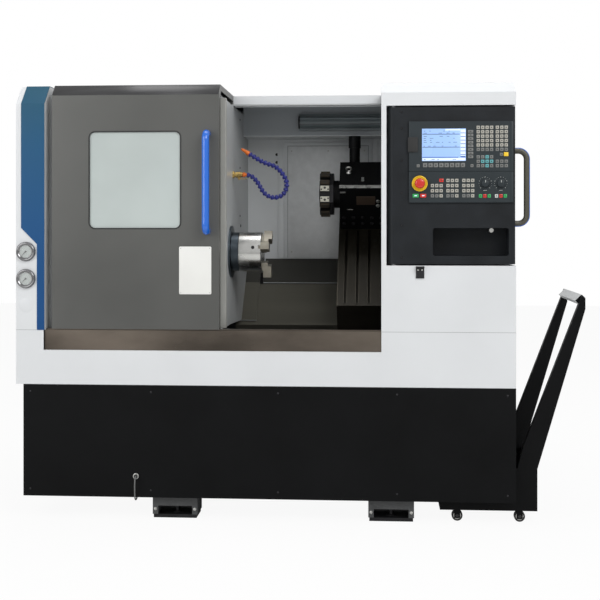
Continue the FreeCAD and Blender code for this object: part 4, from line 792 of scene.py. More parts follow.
# %% [markdown]
# The grip of the control box is a round tube, blue on the outside and dark on the hand's side.
# Rings of points follow the grip's line, and each strip along it takes its paint by which way it
# faces.

# %% Two-tone grip
GRIP_LEFT, GRIP_LINE_X, GRIP_BOTTOM, GRIP_TOP = 2030.0, 2081.0, 1206.0, 1500.0
GRIP_DEPTH_Y, GRIP_BEND, GRIP_RADIUS, SIDES, SHELL_REACH = 46.0, 34.0, 12.6, 24, 0.62
grip_olive = finish("olive_grip_rubber", (0.055, 0.052, 0.036), 0.34, drift=0.12, grain=0.2)
bend_x, bend_z = GRIP_LINE_X - GRIP_BEND, GRIP_BOTTOM + GRIP_BEND
lower = [(GRIP_LEFT, GRIP_BOTTOM, (0, -1)), (bend_x, GRIP_BOTTOM, (0, -1))]
for i in range(1, 9):
    angle = math.radians(-90 + 90 * i / 8)
    out = (math.cos(angle), math.sin(angle))
    lower.append((bend_x + GRIP_BEND * out[0], bend_z + GRIP_BEND * out[1], out))
upper = [(x, GRIP_BOTTOM + GRIP_TOP - z, (ox, -oz)) for x, z, (ox, oz) in reversed(lower)]

bm = bmesh.new()
rings = [[bm.verts.new(spot(x + ox * GRIP_RADIUS * c, GRIP_DEPTH_Y + GRIP_RADIUS * s,
                            z + oz * GRIP_RADIUS * c)) for c, s in round_ways(SIDES)]
         for x, z, (ox, oz) in lower + upper]
bridge_rings(bm, rings, 0)
bm.faces.index_update()
for face in bm.faces:
    if len(face.verts) == 4:
        outward = math.cos(2 * math.pi * (face.index % SIDES + 0.5) / SIDES)
        face.material_index = 0 if outward > SHELL_REACH else 1
grip = finish_piece("panel_grip_tube", bm, [blue_gloss, grip_olive], "pendant", 50)
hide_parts("panel_handle")

# %% [markdown]
# ## Gauges
#
# Each pressure gauge has a dark chromed bezel that slopes in to a small pale dial, with a ring of
# fine marks, a red stretch at the top of its range and a hub cap over the needle, under a thin
# glass.

# %% Gauges
GAUGE_X, GAUGE_HEIGHTS, GAUGE_MARKS, GAUGE_SWEEP, RED_FROM = 42.0, (1092.0, 981.0), 21, 270, 14
MARK_REACH, MARK_STEP, MARK_HALF = 23.5, 0.6, 0.35
bezel_chrome = finish("dark_chrome_bezel", (0.22, 0.22, 0.225), 0.12, metallic=0.9, drift=0.1,
                      drift_scale=20, grain=0.04)
for number, height in enumerate(GAUGE_HEIGHTS, 1):
    middle = (GAUGE_X, 0, height)
    bm = bmesh.new()
    add_turned(bm, middle, TOWARDS_OPERATOR,
               [(-23, 33.5), (0, 33.5), (0, 40), (6.5, 40), (10.5, 38.8), (12.8, 36.6), (13.7, 34),
                (13.2, 31.6), (9.0, 26.8), (4.2, 26.2), (4.0, 2)], 0, 64)
    add_turned(bm, middle, TOWARDS_OPERATOR, [(3.8, 26.0), (4.25, 26.0), (4.3, 0.5)], 1, 48)
    for i in range(GAUGE_MARKS):
        angle = math.radians(225 - GAUGE_SWEEP * i / (GAUGE_MARKS - 1))
        for k in range(7 if i % 5 == 0 else 4):
            r = MARK_REACH - MARK_STEP * k
            add_pad(bm, GAUGE_X + r * math.cos(angle), height + r * math.sin(angle), MARK_HALF,
                    MARK_HALF, -4.42, -4.2, 0.3, 0.02, 3 if i > RED_FROM else 2)
    add_turned(bm, middle, TOWARDS_OPERATOR, [(7.05, 3.2), (7.8, 2.6), (8.0, 0.8)], 2, 20)
    case = finish_piece(f"gauge_{number}_dressed", bm,
                        [bezel_chrome, dial_white, dial_black, signal_red], "root")
    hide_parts(f"gauge_case_{number}")
    bm = bmesh.new()
    add_turned(bm, middle, TOWARDS_OPERATOR,
               [(9.2, 27.0), (9.9, 27.0), (10.3, 24), (10.5, 12), (10.55, 1)], 0, 48)
    finish_piece(f"gauge_{number}_glass", bm, [gauge_glass], "root")

# %% [markdown]
# A third hole of the same size in the end cover is closed with a painted blank plug. It stands only
# half a millimetre proud, so all that shows is its faint round edge.

# %% Blank plug
bm = bmesh.new()
add_turned(bm, (GAUGE_X, 0, 872), TOWARDS_OPERATOR,
           [(-3, 30), (0.3, 30), (0.7, 29.2), (0.7, 1)], 0, 56)
finish_piece("blank_plug", bm, [white_coat], "root")

# %% [markdown]
# Three socket screws sit in the side of the chuck and turn with it.

# %% Chuck side screws
CHUCK_RADIUS, CHUCK_SCREW_X = 85.0, 949.0
bm = bmesh.new()
for turn in (166, 286, 406):
    angle = math.radians(turn)
    out = (0, math.cos(angle), math.sin(angle))
    foot = (CHUCK_SCREW_X, SPINDLE_Y + CHUCK_RADIUS * out[1], SPINDLE_Z + CHUCK_RADIUS * out[2])
    add_turned(bm, foot, out,
               [(-2.5, 7.2), (0.5, 7.2), (0.9, 6.6), (0.9, 4.2), (0.2, 3.8), (0.1, 0.4)], 0, 24)
finish_piece("chuck_side_screws", bm, [black_oxide], "spindle")

# %% [markdown]
# The earth lead's gland carries a bright plated ring round its black middle. The ring is a little
# wider than the gland.

# %% Gland ring
bm = bmesh.new()
GLAND_PLACE = (499.0, 0.0, 177.5)
add_turned(bm, GLAND_PLACE, TOWARDS_OPERATOR,
           [(0.2, 12.2), (4.0, 12.4), (6.1, 11.5), (6.8, 10.1), (6.5, 8.4)], 0, 40)
add_turned(bm, GLAND_PLACE, TOWARDS_OPERATOR, [(5.2, 8.6), (6.6, 8.3), (6.7, 3.4)], 1, 32)
finish_piece("gland_ring", bm, [zinc_steel, black_rubber], "root")

# %% [markdown]
# ## Door
#
# The door is one folded sheet. Its top bevel, with a crease above and below, is darker in the
# light, and a thin strip carries that as painted shade. The window sits in a narrow rounded frame,
# and a plain riveted plate is fixed below it. The enclosure's edge behind the door is a mid grey
# folded stile.

# %% Door trim
DOOR_LEFT, DOOR_RIGHT, DOOR_BEVEL, ROOF_TOP = 150.0, 840.0, 43.0, 1776.0
# The strip carries painted shade over the door's top bevel.
bm = bmesh.new()
rows = [[bm.verts.new(spot(x, y, z)) for x in (DOOR_LEFT + 1.5, DOOR_RIGHT - 1.5)] for y, z in (
    (-0.4, ROOF_TOP - DOOR_BEVEL - 1.0), (-0.4, ROOF_TOP - DOOR_BEVEL + 0.4),
    (DOOR_BEVEL - 1.0, ROOF_TOP + 0.4), (DOOR_BEVEL + 1.0, ROOF_TOP + 0.4))]
for a, b in zip(rows, rows[1:]):
    bm.faces.new((a[0], a[1], b[1], b[0]))
bevel_strip = finish_piece("door_bevel_strip", bm, [door_bevel_shade_coat], "door", 20)
solid = bevel_strip.modifiers.new("sheet", "SOLIDIFY")
solid.thickness, solid.offset = mm(0.35), 0

WINDOW = (307.0, 680.0, 1189.0, 1580.0)      # left, right, low, high of the opening
bm = bmesh.new()
WINDOW_CORNER, FRAME_WIDTH, FRAME_PROUD = 22.0, 5.0, 1.6
outer = rounded_ring(WINDOW[0] - FRAME_WIDTH, WINDOW[1] + FRAME_WIDTH, WINDOW[2] - FRAME_WIDTH,
                     WINDOW[3] + FRAME_WIDTH, WINDOW_CORNER + FRAME_WIDTH, 8)
inner = rounded_ring(*WINDOW, WINDOW_CORNER, 8)
rings = [[bm.verts.new(spot(x, y, z)) for x, z in ring] for ring, y in
         ((outer, 0.2), (outer, -FRAME_PROUD + 0.6), (inner, -FRAME_PROUD), (inner, 3.6))]
bridge_rings(bm, rings, 0, (False, False))
finish_piece("window_frame", bm, [black_rubber], "door")

plate_enamel = finish("plain_plate_enamel", (0.78, 0.78, 0.75), 0.4, drift=0.03, grain=0.05)
bm = bmesh.new()
add_slab(bm, 676.5, 808.5, 919.5, 1113.5, -2.4, -1.2, 5, 0.5, 0)
for x in (683, 802):
    for z in (926, 1107):
        add_turned(bm, (x, -2.2, z), TOWARDS_OPERATOR,
                   [(0, 2.4), (0.6, 2.2), (1.0, 1.2), (1.1, 0.3)], 1, 16)
finish_piece("door_plate_face", bm, [plate_enamel, zinc_steel], "door")

# %% Stile
STILE_LOW, STILE_TOP, STILE_BACK = 776.0, 1724.0, 71.8
bm = bmesh.new()
add_box(bm, (829.5, 66.8, STILE_LOW), (860, STILE_BACK, STILE_TOP))
add_box(bm, (855, STILE_BACK, STILE_LOW), (860, 92, STILE_TOP))
stile = finish_piece("opening_stile", bm, [stile_coat], "root")
soften_edges(stile, mm(2.2), 3)
print("stile and door trim done")

# %% [markdown]
# ## Turret
#
# The tool disc has two clamps at each slot, pale at the front station and brown elsewhere, with
# three dark screw holes each. The housing behind it carries a bare steel strip, a brown cover
# plate, a few bright plates and bolts. They are placed by the bed's own two directions: s up the
# slope and n square off it.

# %% Clamps
ROOT_HALF = math.sqrt(0.5)
TURRET_Y, TURRET_Z, TURRET_LEFT, TURRET_FLAT = 595.5, 1340.5, 1222.0, 93.3
SLOT_EDGE, CLAMP_WIDTH, FRONT_STATION = 12.0, 24.0, 4


def slanted(x, s, n):
    """A point on the slanted bed: s up the slope, n square off it."""
    return (x, (s - n) * ROOT_HALF, (s + n) * ROOT_HALF)


def round_turret(x, out, along, position):
    """A point beside one of the eight flats: out from the axis, along the flat."""
    angle = math.radians(45 * position)
    return (x, TURRET_Y + out * math.cos(angle) + along * math.sin(angle),
            TURRET_Z + out * math.sin(angle) - along * math.cos(angle))


def add_brick(bm, corner, lengths, paint, ease=0.8):
    """A block given by a corner function of three lengths, with its outer rim eased."""
    (a0, a1), (b0, b1), (c0, c1) = lengths
    rings = []
    for c, inset in ((c0, 0), (c1 - ease, 0), (c1, ease)):
        ring = [(a0 + inset, b0 + inset), (a1 - inset, b0 + inset), (a1 - inset, b1 - inset),
                (a0 + inset, b1 - inset)]
        rings.append([bm.verts.new(spot(*corner(a, b, c))) for a, b in ring])
    bridge_rings(bm, rings, paint)


bm = bmesh.new()
for position in range(8):
    def clamp_corner(a, b, c, position=position):
        return round_turret(a, c, b, position)

    paint = 0 if position == FRONT_STATION else 1
    for side in (-1, 1):
        flank = sorted((side * SLOT_EDGE, side * (SLOT_EDGE + CLAMP_WIDTH)))
        add_brick(bm, clamp_corner, ((TURRET_LEFT + 4, TURRET_LEFT + 44), flank,
                                     (TURRET_FLAT + 0.3, TURRET_FLAT + 9)), paint, 1.2)
        for dx, across, hole in ((9, 0.34, 2.8), (24, 0.62, 4.4), (39, 0.34, 2.8)):
            along = side * (SLOT_EDGE + CLAMP_WIDTH * across)
            foot = Vector(round_turret(TURRET_LEFT + dx, TURRET_FLAT + 9.05, along, position))
            outward = (Vector(round_turret(0, 1, 0, position))
                       - Vector(round_turret(0, 0, 0, position)))
            add_turned(bm, foot, outward, [(0, hole + 0.8), (0.15, hole + 0.8), (0.2, hole),
                                           (-0.3, hole), (-0.3, 0.4)], 2, 18)
clamps = finish_piece("turret_clamps", bm, [ivory, clamp_brown, dial_black], "turret")
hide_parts("tool_clamps")

# %% Housing trim
HOUSING_LEFT, HOUSING_RIGHT, HOUSING_LOW_S, HOUSING_FACE_N = 1311, 1601, 1318, 614
DOWN_SLOPE, FACE_OUT = Vector(slanted(0, -1, 0)), Vector(slanted(0, 0, 1))
bm = bmesh.new()
STRIP_STEEL, BROWN_PLATE, BRIGHT_PLATE, BOLT = range(4)
brown_plate = finish("brown_cover_plate", (0.075, 0.052, 0.038), 0.4, metallic=0.4, drift=0.15)


def low_face(a, b, c):
    """On the housing's lower face: x, up the face (n) and out of it."""
    return slanted(a, HOUSING_LOW_S - c, b)


def outer_face(a, b, c):
    """On the housing's outer face: x, up the slope (s) and out of it."""
    return slanted(a, b, HOUSING_FACE_N + c)


STRIP = ((HOUSING_LEFT - 1, HOUSING_RIGHT + 1), (HOUSING_LOW_S - 1, HOUSING_LOW_S + 17))
COVER = ((HOUSING_LEFT + 75, HOUSING_LEFT + 160), (510, 562))
for face, (across, up), proud, paint, ease in (
        (outer_face, STRIP, 2.0, STRIP_STEEL, 0.6), (low_face, COVER, 1.6, BROWN_PLATE, 0.6),
        (low_face, ((1313, 1339), (582, 590)), 1.2, BRIGHT_PLATE, 0.4),
        (low_face, ((1344, 1370), (474, 482)), 1.2, BRIGHT_PLATE, 0.4),
        (outer_face, ((1408, 1421), (1362, 1388)), 1.2, BRIGHT_PLATE, 0.4)):
    add_brick(bm, face, (across, up, (-0.5, proud)), paint, ease)
for x in range(HOUSING_LEFT + 18, HOUSING_RIGHT, 42):
    for n in (392, 430):
        add_turned(bm, slanted(x, HOUSING_LOW_S, n), DOWN_SLOPE,
                   [(-0.5, 8), (5, 8), (6.2, 7), (6.2, 3.6), (3, 3.2), (3, 0.5)], BOLT, 20)
for n in (505, 532):
    add_turned(bm, slanted(HOUSING_RIGHT - 118, HOUSING_LOW_S, n), DOWN_SLOPE,
               [(-0.5, 9), (3, 9), (4.4, 7.6), (4.6, 3)], STRIP_STEEL, 24)
finish_piece("housing_trim", bm, [zinc_steel, brown_plate, ground_steel, black_oxide],
             "cross_slide")

# %% [markdown]
# The housing's eye bolt is a ring on a collar: a ring of circles, skinned round.

# %% Eye bolt
bm = bmesh.new()
EYE_CENTRE, EYE_RING, EYE_ROD = Vector(outer_face(1352, 1420, 21)), 12.0, 3.6
along_x = Vector(TO_THE_RIGHT)
side_way = along_x.cross(FACE_OUT)
rings = []
for c, s in round_ways(28):
    outward = along_x * c + FACE_OUT * s
    rings.append([bm.verts.new(spot(*(EYE_CENTRE + outward * (EYE_RING + EYE_ROD * rc)
                                      + side_way * EYE_ROD * rs))) for rc, rs in round_ways(12)])
bridge_rings(bm, rings + [rings[0]], 0, (False, False))
add_turned(bm, outer_face(1352, 1420, -0.5), FACE_OUT,
           [(0, 12), (4, 12), (6, 9), (9, 5), (10, 4)], 0, 24)
finish_piece("eye_bolt", bm, [zinc_steel], "cross_slide")

# %% [markdown]
# ## Coolant hose
#
# The hose is a row of plastic links, all of one turned profile, set along a smooth line. The line
# is a NURBS curve with the route's corners as control points, and its evaluated points tell where
# each link stands and which way it looks.

# %% Hose links
TAP_END, HOSE_Y, LINK_LENGTH = 889.3, 400.0, 18.6
HOSE_ROUTE = ((TAP_END, 1422), (914, 1422), (934, 1412), (956, 1388), (978, 1346), (1010, 1322),
              (1050, 1322), (1078, 1346), (1086, 1386), (1068, 1424), (1036, 1458), (1000, 1469),
              (964, 1484), (902, 1524))


def line_points(points):
    """Evaluated points of a smooth line through a route, in machine millimetres."""
    guide = smooth_line("guide_line", [spot(x, HOSE_Y, z) for x, z in points], 0)
    mesh = bpy.data.meshes.new_from_object(guide)
    found = [Vector((v.co.x * 1000 + MACHINE_MIDDLE_X, v.co.y * 1000 + MACHINE_MIDDLE_Y,
                     v.co.z * 1000)) for v in mesh.vertices]
    bpy.data.objects.remove(guide)
    bpy.data.meshes.remove(mesh)
    return found


def stations(points, pitch):
    """Points at even distances along a line, with the direction at each."""
    placed, travelled, wanted = [], 0.0, 0.0
    for a, b in zip(points, points[1:]):
        step = (b - a).length
        while travelled + step > wanted:
            placed.append((a.lerp(b, (wanted - travelled) / step), (b - a).normalized()))
            wanted += pitch
        travelled += step
    return placed


LINK_PROFILE = [(-0.4, 4.0), (0.0, 6.6), (0.8, 9.0), (3.4, 11.0), (6.4, 11.4), (9.6, 10.4),
                (11.8, 8.0), (13.0, 6.4), (15.4, 5.8), (18.6, 6.6)]
links = stations(line_points(HOSE_ROUTE), LINK_LENGTH)
bm = bmesh.new()
BLUE_LINK, ORANGE_LINK = 0, 1
for i, (place, along) in enumerate(links[:-1]):
    add_turned(bm, place, along, LINK_PROFILE, ORANGE_LINK if i == 0 else BLUE_LINK, 24)
end, along = links[-1]
add_turned(bm, end, along, [(-8, 6.0), (-6, 9.2), (-2, 10.4), (3, 10.2), (10, 7.8), (32, 5.4),
                            (34, 5.1), (34.2, 3.4), (30, 3.2), (28, 0.4)], ORANGE_LINK, 28)
hose = finish_piece("hose_links", bm, [hose_blue, hose_orange], "coolant_hose")
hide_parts("coolant_hose")
print("hose links:", len(links))

# %% [markdown]
# The tap is brass: a hexagon against the wall, a ribbed barrel and a flat lever. A hexagon is a
# turned form with six sides.

# %% Brass tap
WALL_PLANE, TAP_HEIGHT, LEVER_TOP, LEVER_X = 845.0, 1422.0, 1402.7, 873.0
bm = bmesh.new()
for way, start, profile, sides in (
        (TO_THE_RIGHT, WALL_PLANE, [(-0.5, 15.5), (8, 15.5), (9.2, 14)], 6),
        (TO_THE_RIGHT, WALL_PLANE,
         [(8, 11), (14, 11), (15, 13.5), (36, 13.5), (37, 10.5), (38, 10.5), (38.5, 12), (43, 12),
          (44, 10.5), (44.1, 1)], 28),
        ((0, 0, -1), LEVER_X, [(10, 6.5), (14, 6.5), (15, 5), (16, 5), (16.1, 0.5)], 20)):
    add_turned(bm, (start, HOSE_Y, TAP_HEIGHT), way, profile, 0, sides)
tap = finish_piece("brass_tap", bm, [brass], "root")
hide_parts("coolant_valve")

bm = bmesh.new()
for foot, radius, sides in ((LEVER_TOP, 7.0, 24), (LEVER_TOP - 3.0, 5.0, 6)):
    add_turned(bm, (LEVER_X, HOSE_Y, foot), UPWARDS,
               [(0, radius - 0.6), (0.6, radius), (2.4, radius), (3, radius - 0.6)], 0, sides)
add_box(bm, (LEVER_X, HOSE_Y - 4, LEVER_TOP), (LEVER_X + 34, HOSE_Y + 4, LEVER_TOP + 3))
lever = finish_piece("tap_lever", bm, [brass], "valve_lever")
soften_edges(lever, mm(0.8))
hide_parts("valve_lever")

# %% [markdown]
# ## Work space
#
# The back wall carries a service panel in a folded frame, with a rim of painted shadow inside the
# frame. Below it lies the upper guard, a sheet in painted shade, and two strips of guard sheet
# cover the left wall's foot, where the moving cover runs in; the strip further up the slope is in
# painted shade. Small screws hold the lining and the panel. The sheets over the solids are under a
# millimetre thick.

# %% Lining sheets
REAR_WALL, SHEET_SKIN, INNER_RIGHT, FRAME, RECESS = 1000.0, 0.8, 2029.0, 14.0, 4.0
SERVICE_LEFT, SERVICE_RIGHT, SERVICE_LOW, SERVICE_TOP = 1025.0, 1452.0, 1040.0, 1604.0
panel_sheet = finish("mottled_service_sheet", (0.70, 0.715, 0.72), 0.36, metallic=0.2, drift=0.07,
                     drift_scale=26, grain=0.2)
frame_shade = finish("frame_shadow_coat", (0.30, 0.31, 0.315), 0.4, drift=0.06, grain=0.2)


def add_slant_sheet(bm, x0, x1, s0, s1, n0, n1, paint):
    """A thin block that lies along the slanted bed."""
    add_box(bm, (x0, s0, n0), (x1, s1, n1), paint, slanted)


bm = bmesh.new()
for inset, lift, front, radius, ease, paint in ((FRAME + 3, 1, 1.5, 2, 0.5, 0),
                                                (FRAME + 0.3, 0.5, 0.4, 1, 0.2, 1)):
    add_slab(bm, SERVICE_LEFT + inset, SERVICE_RIGHT - inset, SERVICE_LOW + lift,
             SERVICE_TOP - inset, REAR_WALL - RECESS - front, REAR_WALL - RECESS, radius, ease,
             paint)
for x0, x1 in ((SERVICE_LEFT - 34, SERVICE_LEFT - 3), (SERVICE_RIGHT + 3, SERVICE_RIGHT + 30)):
    add_slab(bm, x0, x1, SERVICE_LOW, SERVICE_TOP + 8, REAR_WALL - 4, REAR_WALL, 1.5, 1, 2)
add_slab(bm, SERVICE_LEFT - 2, SERVICE_RIGHT + 2, SERVICE_TOP + 2, SERVICE_TOP + 14, REAR_WALL - 3,
         REAR_WALL, 1, 0.8, 2)
# The upper guard and the foot strip further up the slope take the guard steel's painted shade.
for x0, x1, s0, s1, n, paint in ((932, INNER_RIGHT, 1282, 1439, 25.0, 3),
                                 (WALL_PLANE + 1, 915.5, 1039.5, 1276, 32.0, 4),
                                 (WALL_PLANE + 1, 915.5, 1276.5, 1427, 32.0, 3)):
    add_slant_sheet(bm, x0, x1, s0, s1, n, n + SHEET_SKIN, paint)
lining = finish_piece("work_space_lining", bm,
                      [panel_sheet, frame_shade, inner_coat, shadow_steel, guard_steel], "root")
soften_edges(lining, mm(0.4))

# %% Lining screws
bm = bmesh.new()
for places, way, profile, paint, sides in (
        ([(WALL_PLANE, 662, z) for z in (1688, 1465, 1243)], TO_THE_RIGHT,
         [(-0.2, 5.6), (0.8, 5.4), (2.2, 3.6), (2.4, 2.2), (1.5, 1.8), (1.5, 0.3)], 0, 20),
        ([(WALL_PLANE, 690, 1197)], TO_THE_RIGHT,
         [(-0.2, 7.6), (0.8, 7.4), (2.2, 5.6), (2.4, 3.2), (1.5, 2.8), (1.5, 0.3)], 0, 20),
        ([(987, REAR_WALL, z) for z in (1547, 1509)], TOWARDS_OPERATOR,
         [(-0.2, 7.4), (0.8, 7.2), (2.0, 5.2), (2.2, 3.0), (1.4, 2.6), (1.4, 0.3)], 0, 20),
        ([(x, REAR_WALL - RECESS - 1.4, z) for x in (1060, 1240, 1417)
          for z in (SERVICE_LOW + 30, SERVICE_TOP - 40)], TOWARDS_OPERATOR,
         [(-0.2, 4.0), (0.6, 3.9), (1.6, 2.6), (1.7, 0.4)], 1, 16)):
    for place in places:
        add_turned(bm, place, way, profile, paint, sides)
finish_piece("lining_screws", bm, [black_oxide, zinc_steel], "root")

# %% [markdown]
# The slide's T-slots have worn, bright edges, and so have its long sides. Two pairs of tapped holes
# sit between the slots.

# %% Slide trim
SLIDE_FACE, SLIDE_LEFT, SLIDE_RIGHT, SLIDE_LOW, SLIDE_HIGH = 354.3, 1304.0, 1704.0, 850.0, 1310.0
SLOT_START, SLOT_STEP, SLOT_HALF, SLOT_NUMBER = 36.0, 52.0, 6.0, 7
worn_edge = finish("worn_slide_edge", (0.042, 0.037, 0.027), 0.34, metallic=0.7, drift=0.3,
                   drift_scale=24, grain=0.2)
bm = bmesh.new()
for i in range(SLOT_NUMBER):
    middle = SLIDE_LEFT + SLOT_START + SLOT_STEP * i
    for edge in (middle - SLOT_HALF - 0.9, middle + SLOT_HALF + 0.9):
        add_slant_sheet(bm, edge - 0.8, edge + 0.8, SLIDE_LOW + 16, SLIDE_HIGH - 2,
                        SLIDE_FACE - 0.05, SLIDE_FACE + 0.25, 0)
for x in (SLIDE_LEFT + 1.5, SLIDE_RIGHT - 1.5):
    add_slant_sheet(bm, x - 1.5, x + 1.5, SLIDE_LOW + 1, SLIDE_HIGH, SLIDE_FACE - 0.05,
                    SLIDE_FACE + 0.3, 0)
for x in (SLIDE_LEFT + 114, SLIDE_LEFT + 166):
    for s in (1245, 1205):
        add_turned(bm, slanted(x, s, SLIDE_FACE - 0.1), FACE_OUT,
                   [(0, 6.4), (0.3, 6.4), (0.35, 5.4), (-1.5, 5.2), (-1.5, 0.4)], 1, 20)
finish_piece("slide_trim", bm, [worn_edge, dial_black], "cross_slide")

# %% [markdown]
# The lamp under the ceiling beam has a slim pale line and a slim dark one on its cover, and dark
# end caps with a screw each. The beam is in the roof's shade, and its sheet gets a deeper grey.

# %% Beam and lamp
BEAM_PLANE, BEAM_LOW, BEAM_HIGH = 800.0, 1622.0, 1772.0
LAMP_LEFT, LAMP_RIGHT, LAMP_AXIS_Y, LAMP_AXIS_Z, LAMP_RADIUS = 1112.0, 1812.0, 770.0, 1684.0, 30.0
beam_coat = finish("shaded_beam_coat", (0.33, 0.355, 0.375), 0.4, drift=0.06, grain=0.2)
trim_line = finish("pale_trim_line", (0.30, 0.34, 0.35), 0.3, metallic=0.5, drift=0.06)
bm = bmesh.new()
add_box(bm, (WALL_PLANE + 1, BEAM_PLANE - SHEET_SKIN, BEAM_LOW + 1),
        (INNER_RIGHT, BEAM_PLANE, BEAM_HIGH), 0)
add_box(bm, (WALL_PLANE + 1, BEAM_PLANE - 3, BEAM_LOW - 1),
        (INNER_RIGHT, BEAM_PLANE, BEAM_LOW + 2.5), 1)
for lift, paint in ((14.0, 2), (-11.0, 3)):
    front = LAMP_AXIS_Y - math.sqrt(LAMP_RADIUS ** 2 - lift ** 2)
    add_box(bm, (LAMP_LEFT + 6, front - 0.8, LAMP_AXIS_Z + lift - 1.1),
            (LAMP_RIGHT - 6, front + 2, LAMP_AXIS_Z + lift + 1.1), paint)
for x, way in ((LAMP_LEFT, -1), (LAMP_RIGHT, 1)):
    add_turned(bm, (x - 4 * way, LAMP_AXIS_Y, LAMP_AXIS_Z), (way, 0, 0),
               [(-2, LAMP_RADIUS + 0.2), (-1.6, LAMP_RADIUS + 1.4), (5.2, LAMP_RADIUS + 1.4),
                (6, LAMP_RADIUS + 0.6), (6.2, 9), (7.4, 8.4), (7.5, 2.8), (6.6, 2.4), (6.6, 0.4)],
               3, 40)
finish_piece("beam_and_lamp_trim", bm, [beam_coat, inner_coat, trim_line, black_oxide], "root")

# %% [markdown]
# ## Casing details
#
# The white casing is built from folded sheets, so it shows thin joints: over the band, under the
# right column and the left cover, and a dark one under the band. The base has two rows of
# button-head screws, and the stop bracket under the control two small ones.

# %% Joints and screws on the front
JOINT, JOINT_PROUD = 1.6, 0.25
grey_plate = finish("grey_gland_plate", (0.20, 0.205, 0.21), 0.4, metallic=0.4, drift=0.08)
joint_shade = finish("joint_shadow", (0.30, 0.31, 0.32), 0.5, drift=0.06)
dark_joint = finish("dark_joint_shadow", (0.012, 0.012, 0.013), 0.6, drift=0.1)
COLUMN_LEFT, CASE_RIGHT, BAND_TOP, BAND_LOW = 1497.0, 2033.0, 771.0, 549.0
bm = bmesh.new()
for x0, x1, z0, z1, paint in (
        (COLUMN_LEFT + 1, CASE_RIGHT - 1, BAND_TOP - JOINT / 2, BAND_TOP + JOINT / 2, 0),
        (1, 86, BAND_TOP - JOINT / 2, BAND_TOP + JOINT / 2, 0),
        (33, CASE_RIGHT - 1, BAND_LOW - 2.4, BAND_LOW - 0.4, 1)):
    add_box(bm, (x0, -JOINT_PROUD, z0), (x1, 1, z1), paint)
for x in (1643.5, 1659.5):
    add_turned(bm, (x, -4, 1021), TOWARDS_OPERATOR,
               [(-0.2, 3.6), (0.7, 3.4), (1.6, 2.2), (1.7, 0.4)], 2, 18)
for x in (60, 560, 1080, 1560, 2000):
    for z in (520, 120):
        add_turned(bm, (x, 0, z), TOWARDS_OPERATOR, BUTTON_HEAD, 3, 20)
finish_piece("front_joints", bm, [joint_shade, dark_joint, zinc_steel, black_oxide], "root")

# %% [markdown]
# ## Tank, feet and rear
#
# The pull-out tank has a pale sleeve on its push bar, bare metal with a painted reflection of the
# white surroundings in its colour, and capped wheel hubs. Each front foot bracket carries a pair
# of hexagon bolts, and each foot's pad a turned collar.

# %% Push bar, hubs and foot bolts
BAR_CORNERS = ((2304, 919), (2316, 907), (2294, 881), (2280, 895))
BAR_FROM, BAR_TO, SLEEVE_SCALE = 90.0, 505.0, 1.07
# The sleeve's pale colour is bare metal with a painted reflection of the white surroundings.
sleeve_metal_and_reflection = finish("push_bar_painted_reflection", (0.66, 0.67, 0.67), 0.36, metallic=0.5, drift=0.06,
                   drift_scale=12, grain=0.2)
middle_x = sum(x for x, z in BAR_CORNERS) / 4
middle_z = sum(z for x, z in BAR_CORNERS) / 4
bm = bmesh.new()
rings = [[bm.verts.new(spot(middle_x + (x - middle_x) * grow, y, middle_z + (z - middle_z) * grow))
          for x, z in BAR_CORNERS]
         for y, grow in ((BAR_FROM, 1.0), (BAR_FROM + 0.5, SLEEVE_SCALE),
                         (BAR_TO - 0.5, SLEEVE_SCALE), (BAR_TO, 1.0))]
bridge_rings(bm, rings, 0)
sleeve = finish_piece("push_bar_sleeve", bm, [sleeve_metal_and_reflection], "tank")
soften_edges(sleeve, mm(1.2), 3)

WHEEL_CENTRES, WHEEL_HEIGHT = {"wheels_1": 1804.0, "wheels_2": 2055.0}, 22.0
for body, x in WHEEL_CENTRES.items():
    bm = bmesh.new()
    for y, way in ((70, TOWARDS_OPERATOR), (525, TOWARDS_BACK)):
        add_turned(bm, (x, y, WHEEL_HEIGHT), way,
                   [(-1, 15.5), (0.6, 15.5), (0.8, 12), (-0.4, 11), (0.4, 8.4), (3.4, 8.0),
                    (4.6, 6.8), (4.7, 0.4)], 0, 28)
    finish_piece("hub_caps_" + body, bm, [zinc_steel], body)

bm = bmesh.new()
FOOT_LEFT, FOOT_LENGTH, FOOT_FRONT, FOOT_PAD = (560.0, 1444.0), 185.0, 40.0, 14.0
for x0 in FOOT_LEFT:
    for x in (x0 + 11, x0 + FOOT_LENGTH - 11):
        add_turned(bm, (x, FOOT_FRONT, 36), TOWARDS_OPERATOR,
                   [(-0.2, 7.0), (1.2, 7.0), (1.3, 5.6), (5.0, 5.6), (5.4, 4.8), (5.5, 0.4)], 0, 6)
    for y in (100, 990):
        add_turned(bm, (x0 + FOOT_LENGTH / 2, y, FOOT_PAD), UPWARDS,
                   [(-0.2, 21), (1.6, 21), (1.8, 19.5), (3.0, 18), (3.1, 9.6)], 1, 32)
finish_piece("foot_bolts", bm, [zinc_steel, black_oxide], "root")

# %% [markdown]
# At the back, the cabinet's door gets two columns of cooling slats, a swing handle and edge screws,
# and a gland plate with four cable glands sits beside it. The side walls have pressed slats and
# screws too. A slat is a long slab with a slanted face.

# %% Rear and side details
REAR_FACE, CABINET_LEFT, CABINET_RIGHT, CASE_BACK, SLAT_PITCH = 1437.0, 485.0, 1515.0, 1420.0, 24


